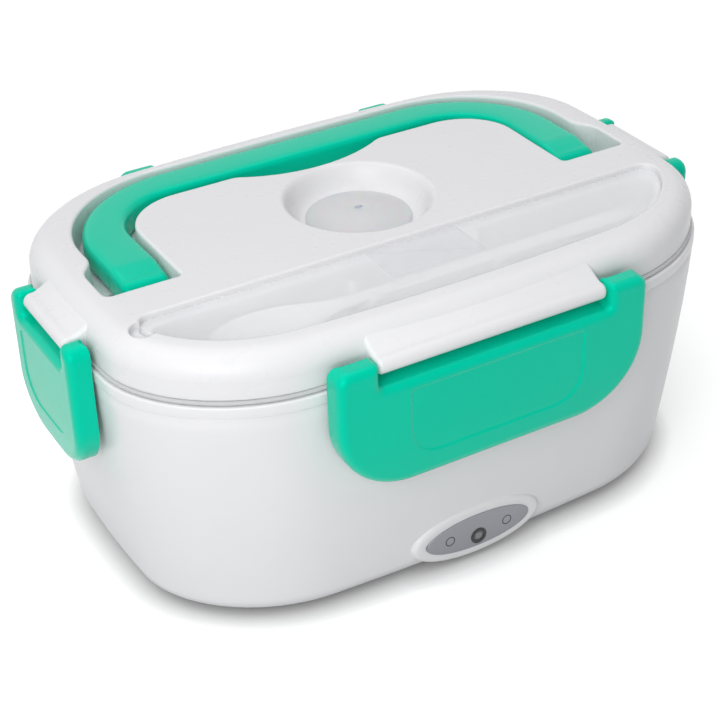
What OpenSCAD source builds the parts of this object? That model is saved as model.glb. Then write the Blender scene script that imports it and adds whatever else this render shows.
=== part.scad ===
// Electric lunch box: a heated base with a lift-out food tray under a latched, lift-off lid.
// Millimetres. Origin at the middle of the footprint, X along the long side, front towards -Y, Z up.

/* [Lid] */
// Length of the lid over its bowed ends
lid_len = 223.2; // [210:1:240]
// Depth of the lid over its bowed front and back
lid_dep = 145.2; // [136:1:156]
// Corner radius of the lid
lid_corner = 42.8; // [36:1:48]
// Difference between the corner's reach along X and its radius
corner_stretch = 4; // [0:0.5:6]
// How far each end bows outwards
end_bow = 5; // [2:0.2:8]
// How far the front and the back bow outwards
side_bow = 5.4; // [2:0.2:8]
// Height of the lid from its skirt to the plateau
lid_h = 15.4; // [15:0.2:20]
// Rounding of the lid's upper edge
lid_edge = 8.4; // [5:0.2:8.4]
// Wall of the lid between its hollow and its recesses
lid_wall = 2.2; // [1.6:0.1:2.6]

/* [Base] */
// Height of the rubber feet
foot_h = 1.8; // [1.5:0.1:4]
// Height of the outer shell over the feet
shell_h = 84.2; // [80:0.2:100]
// Wall of the outer shell
shell_wall = 2.2; // [1.8:0.1:3]
// How far the rim stands out beyond the lid's outline
rim_out = 1.6; // [1:0.1:2]
// How far the top of the shell stands out beyond the lid's outline
shell_out = 1; // [0.4:0.1:1.6]
// How much the shell narrows at each end from top to bottom
taper_x = 6.9; // [4:0.1:9]
// How much the shell narrows at front and back from top to bottom
taper_y = 4.2; // [3:0.1:6]
// Rounding of the shell's lower edge
shell_edge = 8; // [5:0.5:10]
// Height of the liner's rim band that shows over the shell
band_h = 4; // [3:0.2:6]
// Wall of the inner liner
liner_wall = 2; // [1.6:0.1:2.6]
// Height of the liner's floor over the feet
liner_floor = 16.2; // [15:0.2:22]

/* [Latches] */
// Half width of the lid tab that carries the front or back latch
long_tab = 42.7; // [36:0.5:46]
// Half width of the lid tab that carries an end latch
short_tab = 17.2; // [14:0.2:20]
// Half width of the front and back latches
long_latch = 58; // [52:0.5:62]
// Half width of the end latches
short_latch = 25; // [23:0.5:30]
// Corner radius of the front and back latches
long_latch_r = 27; // [20:1:32]
// Corner radius of the end latches
short_latch_r = 18; // [12:1:22]
// How far the front and back latches hang below their hinges
long_drop = 44.6; // [40:0.2:50]
// How far the end latches hang below their hinges
short_drop = 46; // [40:0.2:50]
// Wall of a latch
latch_wall = 2.4; // [1.8:0.1:2.8]
// Radius of the latch's hinge rod
rod_r = 1.5; // [1.2:0.1:1.8]

/* [Handle] */
// Distance from each end of the lid in to the handle's arms
grip_in = 18.7; // [17.6:0.1:24]
// Width of the handle's arms, seen from above
grip_w = 16.4; // [14:0.2:17]
// Width of the handle's bar across the back
bar_w = 14.5; // [12:0.5:16]
// Thickness of the handle bar
grip_t = 10; // [8:0.2:10]
// Distance of the handle's back edge from the middle of the lid
grip_back = 61.3; // [56:0.1:63]
// Depth of the handle's rounded corners from front to back
grip_corner = 40; // [30:1:42]
// Radius of the handle's pivot pins
pivot_r = 2.5; // [2:0.1:3]

/* [Vent and spoon well] */
// Radius of the vent bowl at the plateau
bowl_r = 26.2; // [22:0.2:28]
// Distance of the vent bowl behind the middle of the lid
bowl_y = 5.3; // [3:0.1:7]
// Depth of the vent bowl
bowl_depth = 8.4; // [6:0.2:9]
// Distance of the spoon well's back edge in front of the middle
well_back = 27.5; // [26:0.5:34]
// Inset of the spoon cover from the lid's outline
well_in = 10.5; // [10:0.5:13]
// Thickness of the clear spoon cover
cover_t = 2; // [1.4:0.1:2.4]
// Width of the ledge that carries the spoon cover
ledge_w = 2.4; // [2:0.1:4]
// Distance from each end of the lid in to the end of the spoon
spoon_in = 31.6; // [28:0.2:42]
// Width of the spoon's bowl
spoon_w = 23; // [20:1:24]

/* [Food containers] */
// Wall of the food tray
tray_wall = 1.6; // [1.2:0.1:2.2]
// How far the food tray's rim stays below the base's rim
tray_drop = 6.5; // [5.5:0.5:20]
// Length of the side cup along X
cup_len = 58; // [46:1:60]
// Depth of the side cup along Y
cup_dep = 92; // [80:1:96]
// Height of the side cup without its lid
cup_h = 46; // [36:1:50]
// Wall of the side cup
cup_wall = 1.4; // [1.2:0.1:2]

/* [Indicator] */
// Half length of the oval indicator plate
oval_a = 20.6; // [18:0.2:22]
// Half height of the oval indicator plate
oval_b = 6.6; // [5.6:0.1:7]
// Height of the oval's middle over the feet
oval_z = 10.9; // [10:0.1:14]
// Width of the raised boss around the oval plate
boss_margin = 3.4; // [2.5:0.1:4]

/* [Hidden] */

$fn = 64;
eps = 0.01;
gap = 0.3;            // clearance between pieces that must not touch
run = 0.06;           // radial clearance of a pin in its bore
side_n = 3;           // facets along half a side of the outline
arc_n = 8;            // facets around a corner of the outline
edge_n = 4;           // facets around a rounded edge

// Heights
shell_top = foot_h + shell_h;
band_top = shell_top + band_h;
seal_t = 1.4;
skirt_z = band_top + 0.2 + seal_t;
lid_top = skirt_z + lid_h;
floor_z = foot_h + liner_floor;
plate_t = 1.2;
tray_z = floor_z + plate_t + gap;
tray_h = band_top - tray_drop - tray_z;

// Latch hinge, measured outwards from the lid's outline
tab_out = 4.8;
knuckle_r = rod_r + 1.4;
hinge_z = skirt_z + 5.4;
head_r = tab_out;
head_top = 2.8;
head_back = 3.2;
side_back = 3;
catch_out = 3.4;
catch_t = 2.6;
long_rib = 30;        // half width of the catch ribs under the front and back latches
short_rib = 11;       // half width of those under the end latches
hook_clear = 0.25;

// Handle
grip_half = lid_len / 2 - grip_in;
grip_top = lid_top - 0.6;
grip_z = grip_top - grip_t;
pivot_y = -0.6;
pivot_z = grip_z + 1.6;
barrel_r = 5.8;
nose_y = 6.4;          // where the top of an arm begins to fall to its rounded end
grip_rx = grip_corner + 4;
inner_rx = 24;
inner_ry = 22;
inner_half = grip_half - grip_w;
inner_back = grip_back - bar_w;
channel_floor = grip_z - 0.4;
pocket_floor = pivot_z - barrel_r - 0.4;
pocket_front = -11;
pocket_back = 13;
pocket_side = 6.5;     // where the slanted back edge of a pocket meets its end
pocket_out = grip_half + 8.3;
channel_half = grip_half + 3.2;
channel_back = grip_back + 1.3;
channel_rx = grip_rx + 3;
channel_ry = grip_corner + 1.4;
plateau_half = inner_half - 1.7;
plateau_back = inner_back - 5.2;
plateau_rx = 22;
plateau_ry = 20;
notch_half = 29;
notch_depth = 8.2;

// Spoon and its well
spoon_len = lid_len - 2 * spoon_in;
cover_top = lid_top - 1.6;
ledge_z = cover_top - cover_t;
well_floor = skirt_z + 1.4;

// Lining under the lid
lining_in = 10;
lining_z = skirt_z - 4.6;
lining_t = 2;
liner_in = 7.6;

// ---------- outlines ----------

function arc(cx, cy, r, from, to, n) =
    [for (i = [0 : n]) let(a = from + (to - from) * i / n) [cx + r * cos(a), cy + r * sin(a)]];

// A quarter of a rounded rectangle, from the +X side to the +Y side; its corner is a little longer along X
function quarter(hx, hy, r) =
    let(rx = r + corner_stretch, ry = r - corner_stretch)
    concat(
        [for (i = [0 : side_n - 1]) [hx, (hy - ry) * i / side_n]],
        [for (i = [0 : arc_n]) let(a = 90 * i / arc_n) [hx - rx + rx * cos(a), hy - ry + ry * sin(a)]],
        [for (i = [1 : side_n]) [(hx - rx) * (1 - i / side_n), hy]]
    );

// Bows the sides of the rectangle outwards
function bowed(p, hx, hy) = [
    p.x + end_bow * (1 - pow(min(1, abs(p.y) / hy), 2)) * sign(p.x),
    p.y + side_bow * (1 - pow(min(1, abs(p.x) / hx), 2)) * sign(p.y)
];

// The bowed outline with its full half sizes, as a closed list of points
function outline(hx, hy, r) =
    let(
        bx = hx - end_bow,
        by = hy - side_bow,
        q = [for (p = quarter(bx, by, r)) bowed(p, bx, by)],
        n = len(q) - 1
    )
    concat(
        q,
        [for (i = [n - 1 : -1 : 0]) [-q[i].x, q[i].y]],
        [for (i = [1 : n]) [-q[i].x, -q[i].y]],
        [for (i = [n - 1 : -1 : 1]) [q[i].x, -q[i].y]]
    );

function lid_outline(inset) = outline(lid_len / 2 - inset, lid_dep / 2 - inset, lid_corner - inset);

// The base narrows downwards; inset is measured from its outer face
function base_outline(inset, z) =
    let(f = pow(min(1, max(0, (shell_top - z) / (shell_h - shell_edge))), 1.4))
    outline(
        lid_len / 2 + shell_out - taper_x * f - inset,
        lid_dep / 2 + shell_out - taper_y * f - inset,
        lid_corner - inset
    );

function at_z(points, z) = [for (p = points) [p.x, p.y, z]];

function oval(a, b, n) = [for (i = [0 : n - 1]) [a * cos(360 * i / n), b * sin(360 * i / n)]];

// ---------- solids from outlines ----------

function band_faces(k, m, n) = [
    for (i = [0 : n - 1]) let(j = (i + 1) % n) each [
        [k * n + i, m * n + i, k * n + j],
        [k * n + j, m * n + i, m * n + j]
    ]
];

// Skins a stack of rings and closes both ends
module loft(rings) {
    n = len(rings[0]);
    last = len(rings) - 1;
    polyhedron(
        [for (r = rings) each r],
        concat(
            [[for (i = [0 : n - 1]) i]],
            [[for (i = [n - 1 : -1 : 0]) last * n + i]],
            [for (k = [0 : last - 1]) each band_faces(k, k + 1, n)]
        )
    );
}

// Skins rings that run up the outside and down the inside of a frame
module frame_loft(rings) {
    n = len(rings[0]);
    count = len(rings);
    polyhedron(
        [for (r = rings) each r],
        [for (k = [0 : count - 1]) each band_faces(k, (k + 1) % count, n)]
    );
}

// A flat shape drawn in Y (outwards is -Y) and Z, run along X
module run_x(half) {
    rotate([90, 0, 90])
        translate([0, 0, -half])
            linear_extrude(2 * half) children();
}

// A flat shape drawn in X and Z, run from y0 to y1
module run_y(y0, y1) {
    translate([0, y1, 0])
        rotate([90, 0, 0])
            linear_extrude(y1 - y0) children();
}

module slab(z0, z1) {
    translate([0, 0, z0]) linear_extrude(z1 - z0) children();
}

module rod_x(r, x0, x1) {
    translate([x0, 0, 0]) rotate([0, 90, 0]) cylinder(r = r, h = x1 - x0);
}

module rod_y(r, y0, y1) {
    translate([0, y1, 0]) rotate([90, 0, 0]) cylinder(r = r, h = y1 - y0);
}

module rounded(half_x, half_y, r) {
    polygon(concat(
        arc(half_x - r, half_y - r, r, 0, 90, arc_n),
        arc(r - half_x, half_y - r, r, 90, 180, arc_n),
        arc(r - half_x, r - half_y, r, 180, 270, arc_n),
        arc(half_x - r, r - half_y, r, 270, 360, arc_n)
    ));
}

// Places a child drawn for the front at each side of the lid
module at_front() { translate([0, -lid_dep / 2 - tab_out, hinge_z]) children(); }
module at_back() { rotate(180) at_front() children(); }
module at_left() { rotate(-90) translate([0, -lid_len / 2 - tab_out, hinge_z]) children(); }
module at_right() { rotate(180) at_left() children(); }

// ---------- base ----------

module catch_rib(half) {
    // Ledge under the rim band that a latch hook snaps beneath
    translate([0, 0, shell_top - catch_t - hinge_z])
        run_x(half)
            polygon([
                [tab_out + 0.6, 0],
                [tab_out - catch_out + 0.8, 0],
                [tab_out - catch_out, 0.8],
                [tab_out - catch_out, catch_t - 0.6],
                [tab_out - catch_out + 0.6, catch_t],
                [tab_out + 0.6, catch_t]
            ]);
}

module shell_body() {
    low = foot_h + shell_edge;
    lip_in = shell_edge + 4;
    ledge_in = lip_in + 4;
    frame_loft(concat(
        [at_z(base_outline(lip_in, low), foot_h)],
        [for (i = [0 : edge_n]) let(a = 90 * i / edge_n)
            at_z(base_outline(shell_edge * (1 - sin(a)), low), foot_h + shell_edge * (1 - cos(a)))],
        [
            for (k = [1 : 3]) let(z = low + (shell_top - low) * k / 4) at_z(base_outline(0, z), z),
            at_z(base_outline(0, shell_top), shell_top),
            at_z(base_outline(shell_wall, shell_top), shell_top),
            for (k = [3 : -1 : 1]) let(z = low + (shell_top - low) * k / 4) at_z(base_outline(shell_wall, z), z),
            at_z(base_outline(shell_wall, low + 2), low + 2),
            at_z(base_outline(shell_edge, low), foot_h + 3.6),
            at_z(base_outline(ledge_in, low), foot_h + 3.6),
            at_z(base_outline(ledge_in, low), foot_h + 1.6),
            at_z(base_outline(lip_in, low), foot_h + 1.6)
        ]
    ));
}

// Front face of the boss that carries the indicator plate
boss_y = -(lid_dep / 2 + shell_out - taper_y) - 1.6;

module indicator_boss() {
    run_y(boss_y, boss_y + 6)
        translate([0, foot_h + oval_z])
            polygon(oval(oval_a + boss_margin + 1.4, oval_b + boss_margin, 48));
}

inlet_w = 11;         // half width of the inlet's moulding
inlet_h = 6.2;        // half height of the inlet's moulding
inlet_z = foot_h + 11.6;
inlet_y = lid_dep / 2 + shell_out - taper_y;
pin_x = 4.3;

module outer_shell() {
    color("whitesmoke")
        difference() {
            union() {
                shell_body();
                indicator_boss();
                at_front() catch_rib(long_rib);
                at_back() catch_rib(long_rib);
                at_left() catch_rib(short_rib);
                at_right() catch_rib(short_rib);
                // Pad under the power inlet's flange
                translate([0, 0, inlet_z])
                    run_y(inlet_y - 1.6, inlet_y + 0.9) rounded(inlet_w + 3, inlet_h + 3, 5);
            }
            // Seat of the lamp
            translate([0, 0, led_z]) rod_y(led_r + gap, boss_y - 1, boss_y + 8);
            // Opening of the power inlet
            translate([0, 0, inlet_z])
                run_y(inlet_y - 8, inlet_y + 8)
                    rounded(inlet_w + 0.2, inlet_h + 0.2, 3);
        }
}

// Inner face of the liner, narrowing towards its floor
function liner_outline(inset, z) =
    let(f = (band_top - z) / (band_top - floor_z))
    outline(
        lid_len / 2 - liner_in - 5 * f - inset,
        lid_dep / 2 - liner_in - 5 * f - inset,
        lid_corner - liner_in - 5 * f - inset
    );

// The four posts that the bottom cover screws to
post_x = 76;
post_y = 30;
module at_posts() {
    for (x = [-post_x, post_x], y = [-post_y, post_y]) translate([x, y, 0]) children();
}

plate_half_x = 58;
plate_half_y = 36;

module inner_liner() {
    low = floor_z - liner_wall;
    bend = 7;         // rounding between the liner's wall and its floor
    color("white")
        difference() {
            union() {
                loft(concat(
                    [for (i = [0 : edge_n]) let(a = 90 * i / edge_n)
                        at_z(liner_outline(bend * (1 - sin(a)) - liner_wall, low + bend * (1 - cos(a))),
                            low + bend * (1 - cos(a)))],
                    [
                        at_z(liner_outline(-liner_wall, shell_top), shell_top),
                        at_z(lid_outline(-rim_out), shell_top),
                        at_z(lid_outline(-rim_out), band_top - 0.6),
                        at_z(lid_outline(0.6 - rim_out), band_top),
                        at_z(lid_outline(liner_in), band_top)
                    ],
                    [for (i = [edge_n : -1 : 0]) let(a = 90 * i / edge_n)
                        at_z(liner_outline(bend * (1 - sin(a)), floor_z + bend * (1 - cos(a))),
                            floor_z + bend * (1 - cos(a)))]
                ));
                at_posts()
                    translate([0, 0, foot_h + 3.6]) cylinder(r = 4, h = low + eps - foot_h - 3.6);
            }
            // Opening that the heating plate fills
            slab(low - 1, floor_z + 1) rounded(plate_half_x - 5, plate_half_y - 5, 9);
            at_posts()
                translate([0, 0, foot_h + 3]) cylinder(r = 1.3, h = 9);
        }
}

module cover_edge(inset) {
    polygon(base_outline(shell_edge + 4 + inset, foot_h + shell_edge));
}

module at_feet() {
    for (x = [-66, 66], y = [-42, 42]) translate([x, y, 0]) children();
}

module bottom_cover() {
    color("whitesmoke")
        difference() {
            union() {
                slab(foot_h, foot_h + 1.4) cover_edge(gap);
                slab(foot_h + 1.4 - eps, foot_h + 3.6) cover_edge(4 + gap);
            }
            at_posts() {
                translate([0, 0, foot_h - 1]) cylinder(r = 1.7, h = 6);
                translate([0, 0, foot_h - 1]) cylinder(r = 3.2, h = 2.4);
            }
            at_feet() translate([0, 0, foot_h - 1]) cylinder(r = 6.2, h = 1.8);
            // Cooling slots
            for (x = [-40 : 10 : 40])
                translate([x - 1.5, -16, foot_h - 1]) cube([3, 32, 6]);
        }
}

module cover_screws() {
    color("silver")
        at_posts() {
            translate([0, 0, foot_h + 0.1]) cylinder(r = 2.9, h = 1.3);
            translate([0, 0, foot_h + 1.3]) cylinder(r = 1.25, h = 7.5);
        }
}

module rubber_feet() {
    color("gray")
        at_feet() cylinder(r = 6, h = foot_h + 0.8);
}

// ---------- heating ----------

heater_half_x = 26;
heater_half_y = 16;
heater_t = 4.4;
heater_top = floor_z - liner_wall - 0.1;

module heating_plate() {
    color("silver")
        union() {
            slab(floor_z, floor_z + plate_t) rounded(plate_half_x, plate_half_y, 12);
            slab(heater_top, floor_z + eps) rounded(plate_half_x - 5.4, plate_half_y - 5.4, 8.6);
            // Studs that the heater bracket hangs from
            for (x = [-34, 34])
                translate([x, 0, heater_top - 4.4]) cylinder(r = 2.4, h = 4.5);
        }
}

module ptc_heater() {
    color("tan")
        slab(heater_top - heater_t, heater_top) rounded(heater_half_x, heater_half_y, 2);
}

module heater_bracket() {
    color("gainsboro")
        difference() {
            slab(heater_top - heater_t - 1, heater_top - heater_t) rounded(38, 7, 4);
            for (x = [-34, 34])
                translate([x, 0, heater_top - heater_t - 2]) cylinder(r = 1.6, h = 3);
        }
}

module bracket_screws() {
    color("silver")
        for (x = [-34, 34])
            translate([x, 0, heater_top - heater_t - 2.2]) cylinder(r = 2.6, h = 1.2);
}

module thermostat() {
    color("dimgray")
        translate([14, 23, 0])
            union() {
                translate([0, 0, heater_top - 5]) cylinder(r = 5.6, h = 5);
                translate([0, 0, heater_top - 1]) cylinder(r = 6.4, h = 1);
                translate([-8, -1.5, heater_top - 5.6]) cube([16, 3, 0.7]);
            }
}

module thermal_fuse() {
    color("khaki")
        translate([-14, 23, heater_top - 2.4])
            union() {
                rod_x(2.2, -6.5, 6.5);
                rod_x(0.5, -11, 11);
            }
}

// ---------- indicator ----------

led_r = 2.3;
led_z = foot_h + oval_z - 2.3;

module indicator_plate() {
    color("darkgray")
        difference() {
            translate([0, 0, foot_h + oval_z])
                run_y(boss_y - 0.5, boss_y) polygon(oval(oval_a, oval_b, 48));
            translate([0, 0, led_z]) rod_y(led_r + gap, boss_y - 1, boss_y + 1);
        }
}

module led_bezel() {
    color("black")
        translate([0, 0, led_z])
            difference() {
                union() {
                    rod_y(led_r, boss_y - 0.7, boss_y + 5.5);
                    rod_y(led_r + 0.8, boss_y - 0.8, boss_y - 0.5);
                }
                rod_y(led_r - 0.7, boss_y - 1.5, boss_y + 7);
            }
}

module led_lamp() {
    color("lightgray")
        translate([0, boss_y, led_z])
            union() {
                rod_y(led_r - 0.8, 0.2, 7.2);
                translate([0, 0.2, 0])
                    intersection() {
                        sphere(r = led_r - 0.8);
                        translate([-5, -5, -5]) cube([10, 5, 10]);
                    }
            }
}

module led_board() {
    color("seagreen")
        translate([-9, boss_y + 7.2, led_z - 1.2]) cube([18, 1.4, 6.8]);
}

module power_inlet() {
    color("dimgray")
        translate([0, 0, inlet_z])
            difference() {
                union() {
                    run_y(inlet_y - 7.8, inlet_y + 1.1) rounded(inlet_w, inlet_h, 3);
                    run_y(inlet_y + 0.9, inlet_y + 2.4) rounded(inlet_w + 2, inlet_h + 2, 4);
                }
                run_y(inlet_y - 6.4, inlet_y + 4) rounded(inlet_w - 1.6, inlet_h - 1.6, 4.4);
                for (x = [-pin_x, pin_x])
                    translate([x, 0, 0]) rod_y(1.25, inlet_y - 9, inlet_y - 5);
            }
}

module inlet_pins() {
    color("gold")
        for (x = [-pin_x, pin_x])
            translate([x, 0, inlet_z]) rod_y(1.2, inlet_y - 10, inlet_y - 0.6);
}

function unit(v) = v / norm(v);

// A wire's skin along its route
module wire(points) {
    sides = 8;
    r = 0.9;
    last = len(points) - 1;
    up = [0.31, 0.23, 0.92];
    loft([
        for (i = [0 : last])
            let(
                t = unit(
                    (i > 0 ? unit(points[i] - points[i - 1]) : [0, 0, 0])
                    + (i < last ? unit(points[i + 1] - points[i]) : [0, 0, 0])
                ),
                u = unit(cross(up, t)),
                v = cross(t, u)
            )
            [for (k = [0 : sides - 1]) let(a = 360 * k / sides) points[i] + r * (cos(a) * u + sin(a) * v)]
    ]);
}

module wiring() {
    low = foot_h + 6.6;
    color("firebrick")
        union() {
            wire([[pin_x, inlet_y - 10.3, inlet_z], [pin_x, inlet_y - 14, inlet_z - 1], [8, inlet_y - 18, low + 2],
                [20, 44, low], [24, 34, low], [24.4, 27, low + 1], [24.4, 23.6, heater_top - 5.2]]);
            wire([[-pin_x, inlet_y - 10.3, inlet_z], [-pin_x, inlet_y - 14, inlet_z - 1],
                [-8, inlet_y - 18, low + 2], [-20, 44, low], [-26, 34, low], [-27, 26, heater_top - 3],
                [-25.6, 23.4, heater_top - 2.4]]);
            wire([[4, boss_y + 8.7, led_z], [4, boss_y + 13, led_z], [4, -50, low], [0, -34, low],
                [0, -22, low], [0, -17.2, heater_top - 2]]);
        }
}

// ---------- food containers ----------

tray_gap = 0.8;
tray_top = tray_z + tray_h;

module food_tray() {
    bend = 8;
    color("white")
        loft(concat(
            [for (i = [0 : edge_n]) let(a = 90 * i / edge_n, z = tray_z + bend * (1 - cos(a)))
                at_z(liner_outline(tray_gap + bend * (1 - sin(a)) , z), z)],
            [
                at_z(liner_outline(tray_gap, tray_top), tray_top),
                at_z(liner_outline(tray_gap + tray_wall, tray_top), tray_top)
            ],
            [for (i = [edge_n : -1 : 0]) let(a = 90 * i / edge_n, z = tray_z + tray_wall + bend * (1 - cos(a)))
                at_z(liner_outline(tray_gap + tray_wall + bend * (1 - sin(a)), z), z)]
        ));
}

cup_x = 58;
cup_z = tray_z + tray_wall + gap;
function cup_ring(inset, z) =
    let(
        hx = cup_len / 2 - inset,
        hy = cup_dep / 2 - inset,
        r = 20 - min(inset, 12)
    )
    [for (p = concat(
        arc(hx - r, hy - r, r, 0, 90, 6), arc(r - hx, hy - r, r, 90, 180, 6),
        arc(r - hx, r - hy, r, 180, 270, 6), arc(hx - r, r - hy, r, 270, 360, 6)
    )) [p.x + cup_x, p.y, z]];

module side_cup() {
    color("white")
        loft([
            cup_ring(5, cup_z),
            cup_ring(3, cup_z + 1),
            cup_ring(2, cup_z + 5),
            cup_ring(0.8, cup_z + cup_h - 3),
            cup_ring(-0.4, cup_z + cup_h - 3),
            cup_ring(-0.4, cup_z + cup_h),
            cup_ring(0.8 + cup_wall, cup_z + cup_h),
            cup_ring(2 + cup_wall, cup_z + 5 + cup_wall),
            cup_ring(5 + cup_wall, cup_z + cup_wall)
        ]);
}

module side_cup_lid() {
    top = cup_z + cup_h;
    color("mediumaquamarine")
        loft([
            cup_ring(-0.7, top + 0.1),
            cup_ring(-0.7, top - 3.6),
            cup_ring(-1.9, top - 3.6),
            cup_ring(-1.9, top + 1),
            cup_ring(-1.1, top + 1.7)
        ]);
}

// ---------- lid ----------

module u_shape(half, back, rx, ry, front) {
    corner = [for (i = [0 : arc_n]) let(a = 90 * i / arc_n)
        [half - rx + rx * cos(a), back - ry + ry * sin(a)]];
    polygon(concat(
        [[half, front]],
        corner,
        [for (i = [arc_n : -1 : 0]) [-corner[i].x, corner[i].y]],
        [[-half, front]]
    ));
}

// The handle's channel around the plateau, grown by g
module channel_shape(g) {
    difference() {
        u_shape(channel_half + g, channel_back + g, channel_rx + g, channel_ry + g, pocket_back - g);
        u_shape(plateau_half - g, plateau_back - g, plateau_rx - g, plateau_ry - g, pocket_back - g - 1);
    }
}

// The shallow end of the channel, beside and under the handle's ends
module pocket_shape(g) {
    for (side = [0, 1])
        mirror([side, 0])
            offset(delta = g)
                polygon([
                    [plateau_half, pocket_front],
                    [pocket_out, pocket_front],
                    [pocket_out, pocket_side],
                    [channel_half, pocket_back],
                    [plateau_half, pocket_back]
                ]);
}

// The deep part of each pocket, which the handle's barrel turns in
module barrel_shape(g) {
    x = plateau_half - g;
    y = pocket_front - g;
    for (side = [0, 1])
        mirror([side, 0])
            translate([x, y]) square([grip_half + 2 + g - x, pivot_y + barrel_r + 2.5 + g - y]);
}

// Finger notch in the plateau's back edge
notch_r = (pow(notch_half, 2) + pow(notch_depth, 2)) / (2 * notch_depth);
module notch_shape(g) {
    translate([0, plateau_back - notch_depth + notch_r])
        intersection() {
            circle(r = notch_r + g);
            translate([-notch_half - g - 2, -notch_r - g - 1])
                square([2 * (notch_half + g + 2), notch_depth + g + 5]);
        }
}

// The spoon well's outline, drawn in by e from the edge of its cover
module well_shape(e) {
    offset(r = 6)
        offset(delta = -6)
            intersection() {
                polygon(lid_outline(well_in + e));
                translate([-lid_len, -lid_dep]) square([2 * lid_len, lid_dep - well_back - e]);
            }
}

bowl_z = lid_top - bowl_depth;
module bowl_cut(g) {
    translate([0, bowl_y, lid_top])
        rotate_extrude()
            polygon([
                [0, -bowl_depth - g],
                [bowl_r - 6.8 + g, -bowl_depth - g],
                [bowl_r - 4.6 + g, -bowl_depth + 0.9 - g],
                [bowl_r - 2.6 + g, -bowl_depth * 0.62 - g],
                [bowl_r - 1 + g, -bowl_depth * 0.28],
                [bowl_r + g, 0],
                [bowl_r + g + 0.4, 1],
                [0, 1]
            ]);
}

module at_pivots() {
    for (side = [0, 1]) mirror([side, 0, 0]) translate([0, pivot_y, pivot_z]) children();
}

rim_solid = 12.5;     // width of the lid's rim that backs the seal
module lid_block() {
    crown = 0.3;
    loft(concat(
        [
            at_z(lid_outline(0.4), skirt_z),
            at_z(lid_outline(0), skirt_z + 0.6)
        ],
        [for (i = [0 : edge_n + 1]) let(a = 90 * i / (edge_n + 1))
            at_z(lid_outline(lid_edge * (1 - cos(a))), lid_top - crown - lid_edge * (1 - sin(a)))],
        [at_z(lid_outline(lid_edge + 3), lid_top)]
    ));
}

// What is hollow between the lid's top and its lining
module lid_hollow() {
    difference() {
        loft([
            at_z(lid_outline(rim_solid), skirt_z - 1),
            at_z(lid_outline(rim_solid), lid_top - lid_wall - 2),
            at_z(lid_outline(rim_solid + 2), lid_top - lid_wall)
        ]);
        slab(channel_floor - lid_wall, lid_top) {
            channel_shape(lid_wall);
            pocket_shape(lid_wall);
            notch_shape(lid_wall);
        }
        slab(skirt_z - 2, lid_top) {
            barrel_shape(lid_wall);
            well_shape(-lid_wall);
        }
        bowl_cut(lid_wall);
        at_pivots() rod_x(pivot_r + 2.2, plateau_half - 4, plateau_half);
    }
}

module hinge_tab(half) {
    // Knuckle and the web that joins it to the lid's skirt
    run_x(half)
        polygon(concat(
            arc(0, 0, knuckle_r, 78, 270, 14),
            [[tab_out + 2.6, -knuckle_r], [tab_out + 2.6, 4.5], [tab_out - 0.4, 4]]
        ));
}

// Clips in the well that the spoon's handle presses into
clip_y = -43;
spoon_z = well_floor + 5.4;
module spoon_clip() {
    difference() {
        translate([-2.5, -6.6, well_floor - eps]) cube([5, 13.2, spoon_z + 2.4 - well_floor]);
        translate([-3, -3.5, spoon_z - gap]) cube([6, 7, 6]);
    }
}

module lid_cover() {
    color("white")
        difference() {
            union() {
                difference() {
                    lid_block();
                    lid_hollow();
                    slab(channel_floor, lid_top + 1) {
                        channel_shape(0);
                        pocket_shape(0);
                        notch_shape(0);
                    }
                    slab(pocket_floor, lid_top + 1) barrel_shape(0);
                    slab(ledge_z, lid_top + 1) well_shape(0);
                    slab(well_floor, lid_top + 1) well_shape(ledge_w);
                    bowl_cut(0);
                    // Pry notch at the left end of the spoon cover
                    translate([-lid_len / 2 + well_in + 2.4, -well_back - 7, ledge_z])
                        cylinder(r = 4.6, h = 5);
                }
                // Floors of the pockets, which reach below the hollow
                slab(pocket_floor - 2, pocket_floor) barrel_shape(lid_wall);
                at_front() hinge_tab(long_tab);
                at_back() hinge_tab(long_tab);
                at_left() hinge_tab(short_tab);
                at_right() hinge_tab(short_tab);
                for (x = [-24, 24]) translate([x, clip_y, 0]) spoon_clip();
            }
            at_front() rod_x(rod_r + run, -long_tab - 1, long_tab + 1);
            at_back() rod_x(rod_r + run, -long_tab - 1, long_tab + 1);
            at_left() rod_x(rod_r + run, -short_tab - 1, short_tab + 1);
            at_right() rod_x(rod_r + run, -short_tab - 1, short_tab + 1);
            at_pivots() rod_x(pivot_r + run, plateau_half - 5, plateau_half + 1);
            translate([0, bowl_y, bowl_z - 5]) cylinder(r = 4, h = 6);
        }
}

module lid_lining() {
    color("white")
        difference() {
            loft([
                at_z(lid_outline(lining_in + 1.4), lining_z),
                at_z(lid_outline(lining_in), lining_z + 1.4),
                at_z(lid_outline(lining_in), skirt_z),
                at_z(lid_outline(lining_in + lining_t), skirt_z),
                at_z(lid_outline(lining_in + lining_t), lining_z + lining_t)
            ]);
            translate([0, bowl_y, lining_z - 1]) cylinder(r = 5, h = 5);
        }
}

module lid_gasket() {
    color("gray")
        frame_loft([
            at_z(lid_outline(-0.7), skirt_z - seal_t),
            at_z(lid_outline(-0.7), skirt_z - 0.4),
            at_z(lid_outline(-0.3), skirt_z),
            at_z(lid_outline(lining_in), skirt_z),
            at_z(lid_outline(lining_in), lining_z + 1.6),
            at_z(lid_outline(8.1), lining_z + 1.6),
            at_z(lid_outline(8.1), skirt_z - seal_t)
        ]);
}

module vent_plug() {
    color("lightgray")
        translate([0, bowl_y, bowl_z])
            rotate_extrude()
                polygon([
                    [0, -3.4], [3.8, -3.4], [3.8, 0], [bowl_r - 8, 0], [bowl_r - 7.6, 0.5], [bowl_r - 9, 1.5],
                    [bowl_r - 13, 3.2], [bowl_r - 18, 4.6], [4.6, 5.2], [2.6, 4.7], [0, 4.3]
                ]);
}

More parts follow.
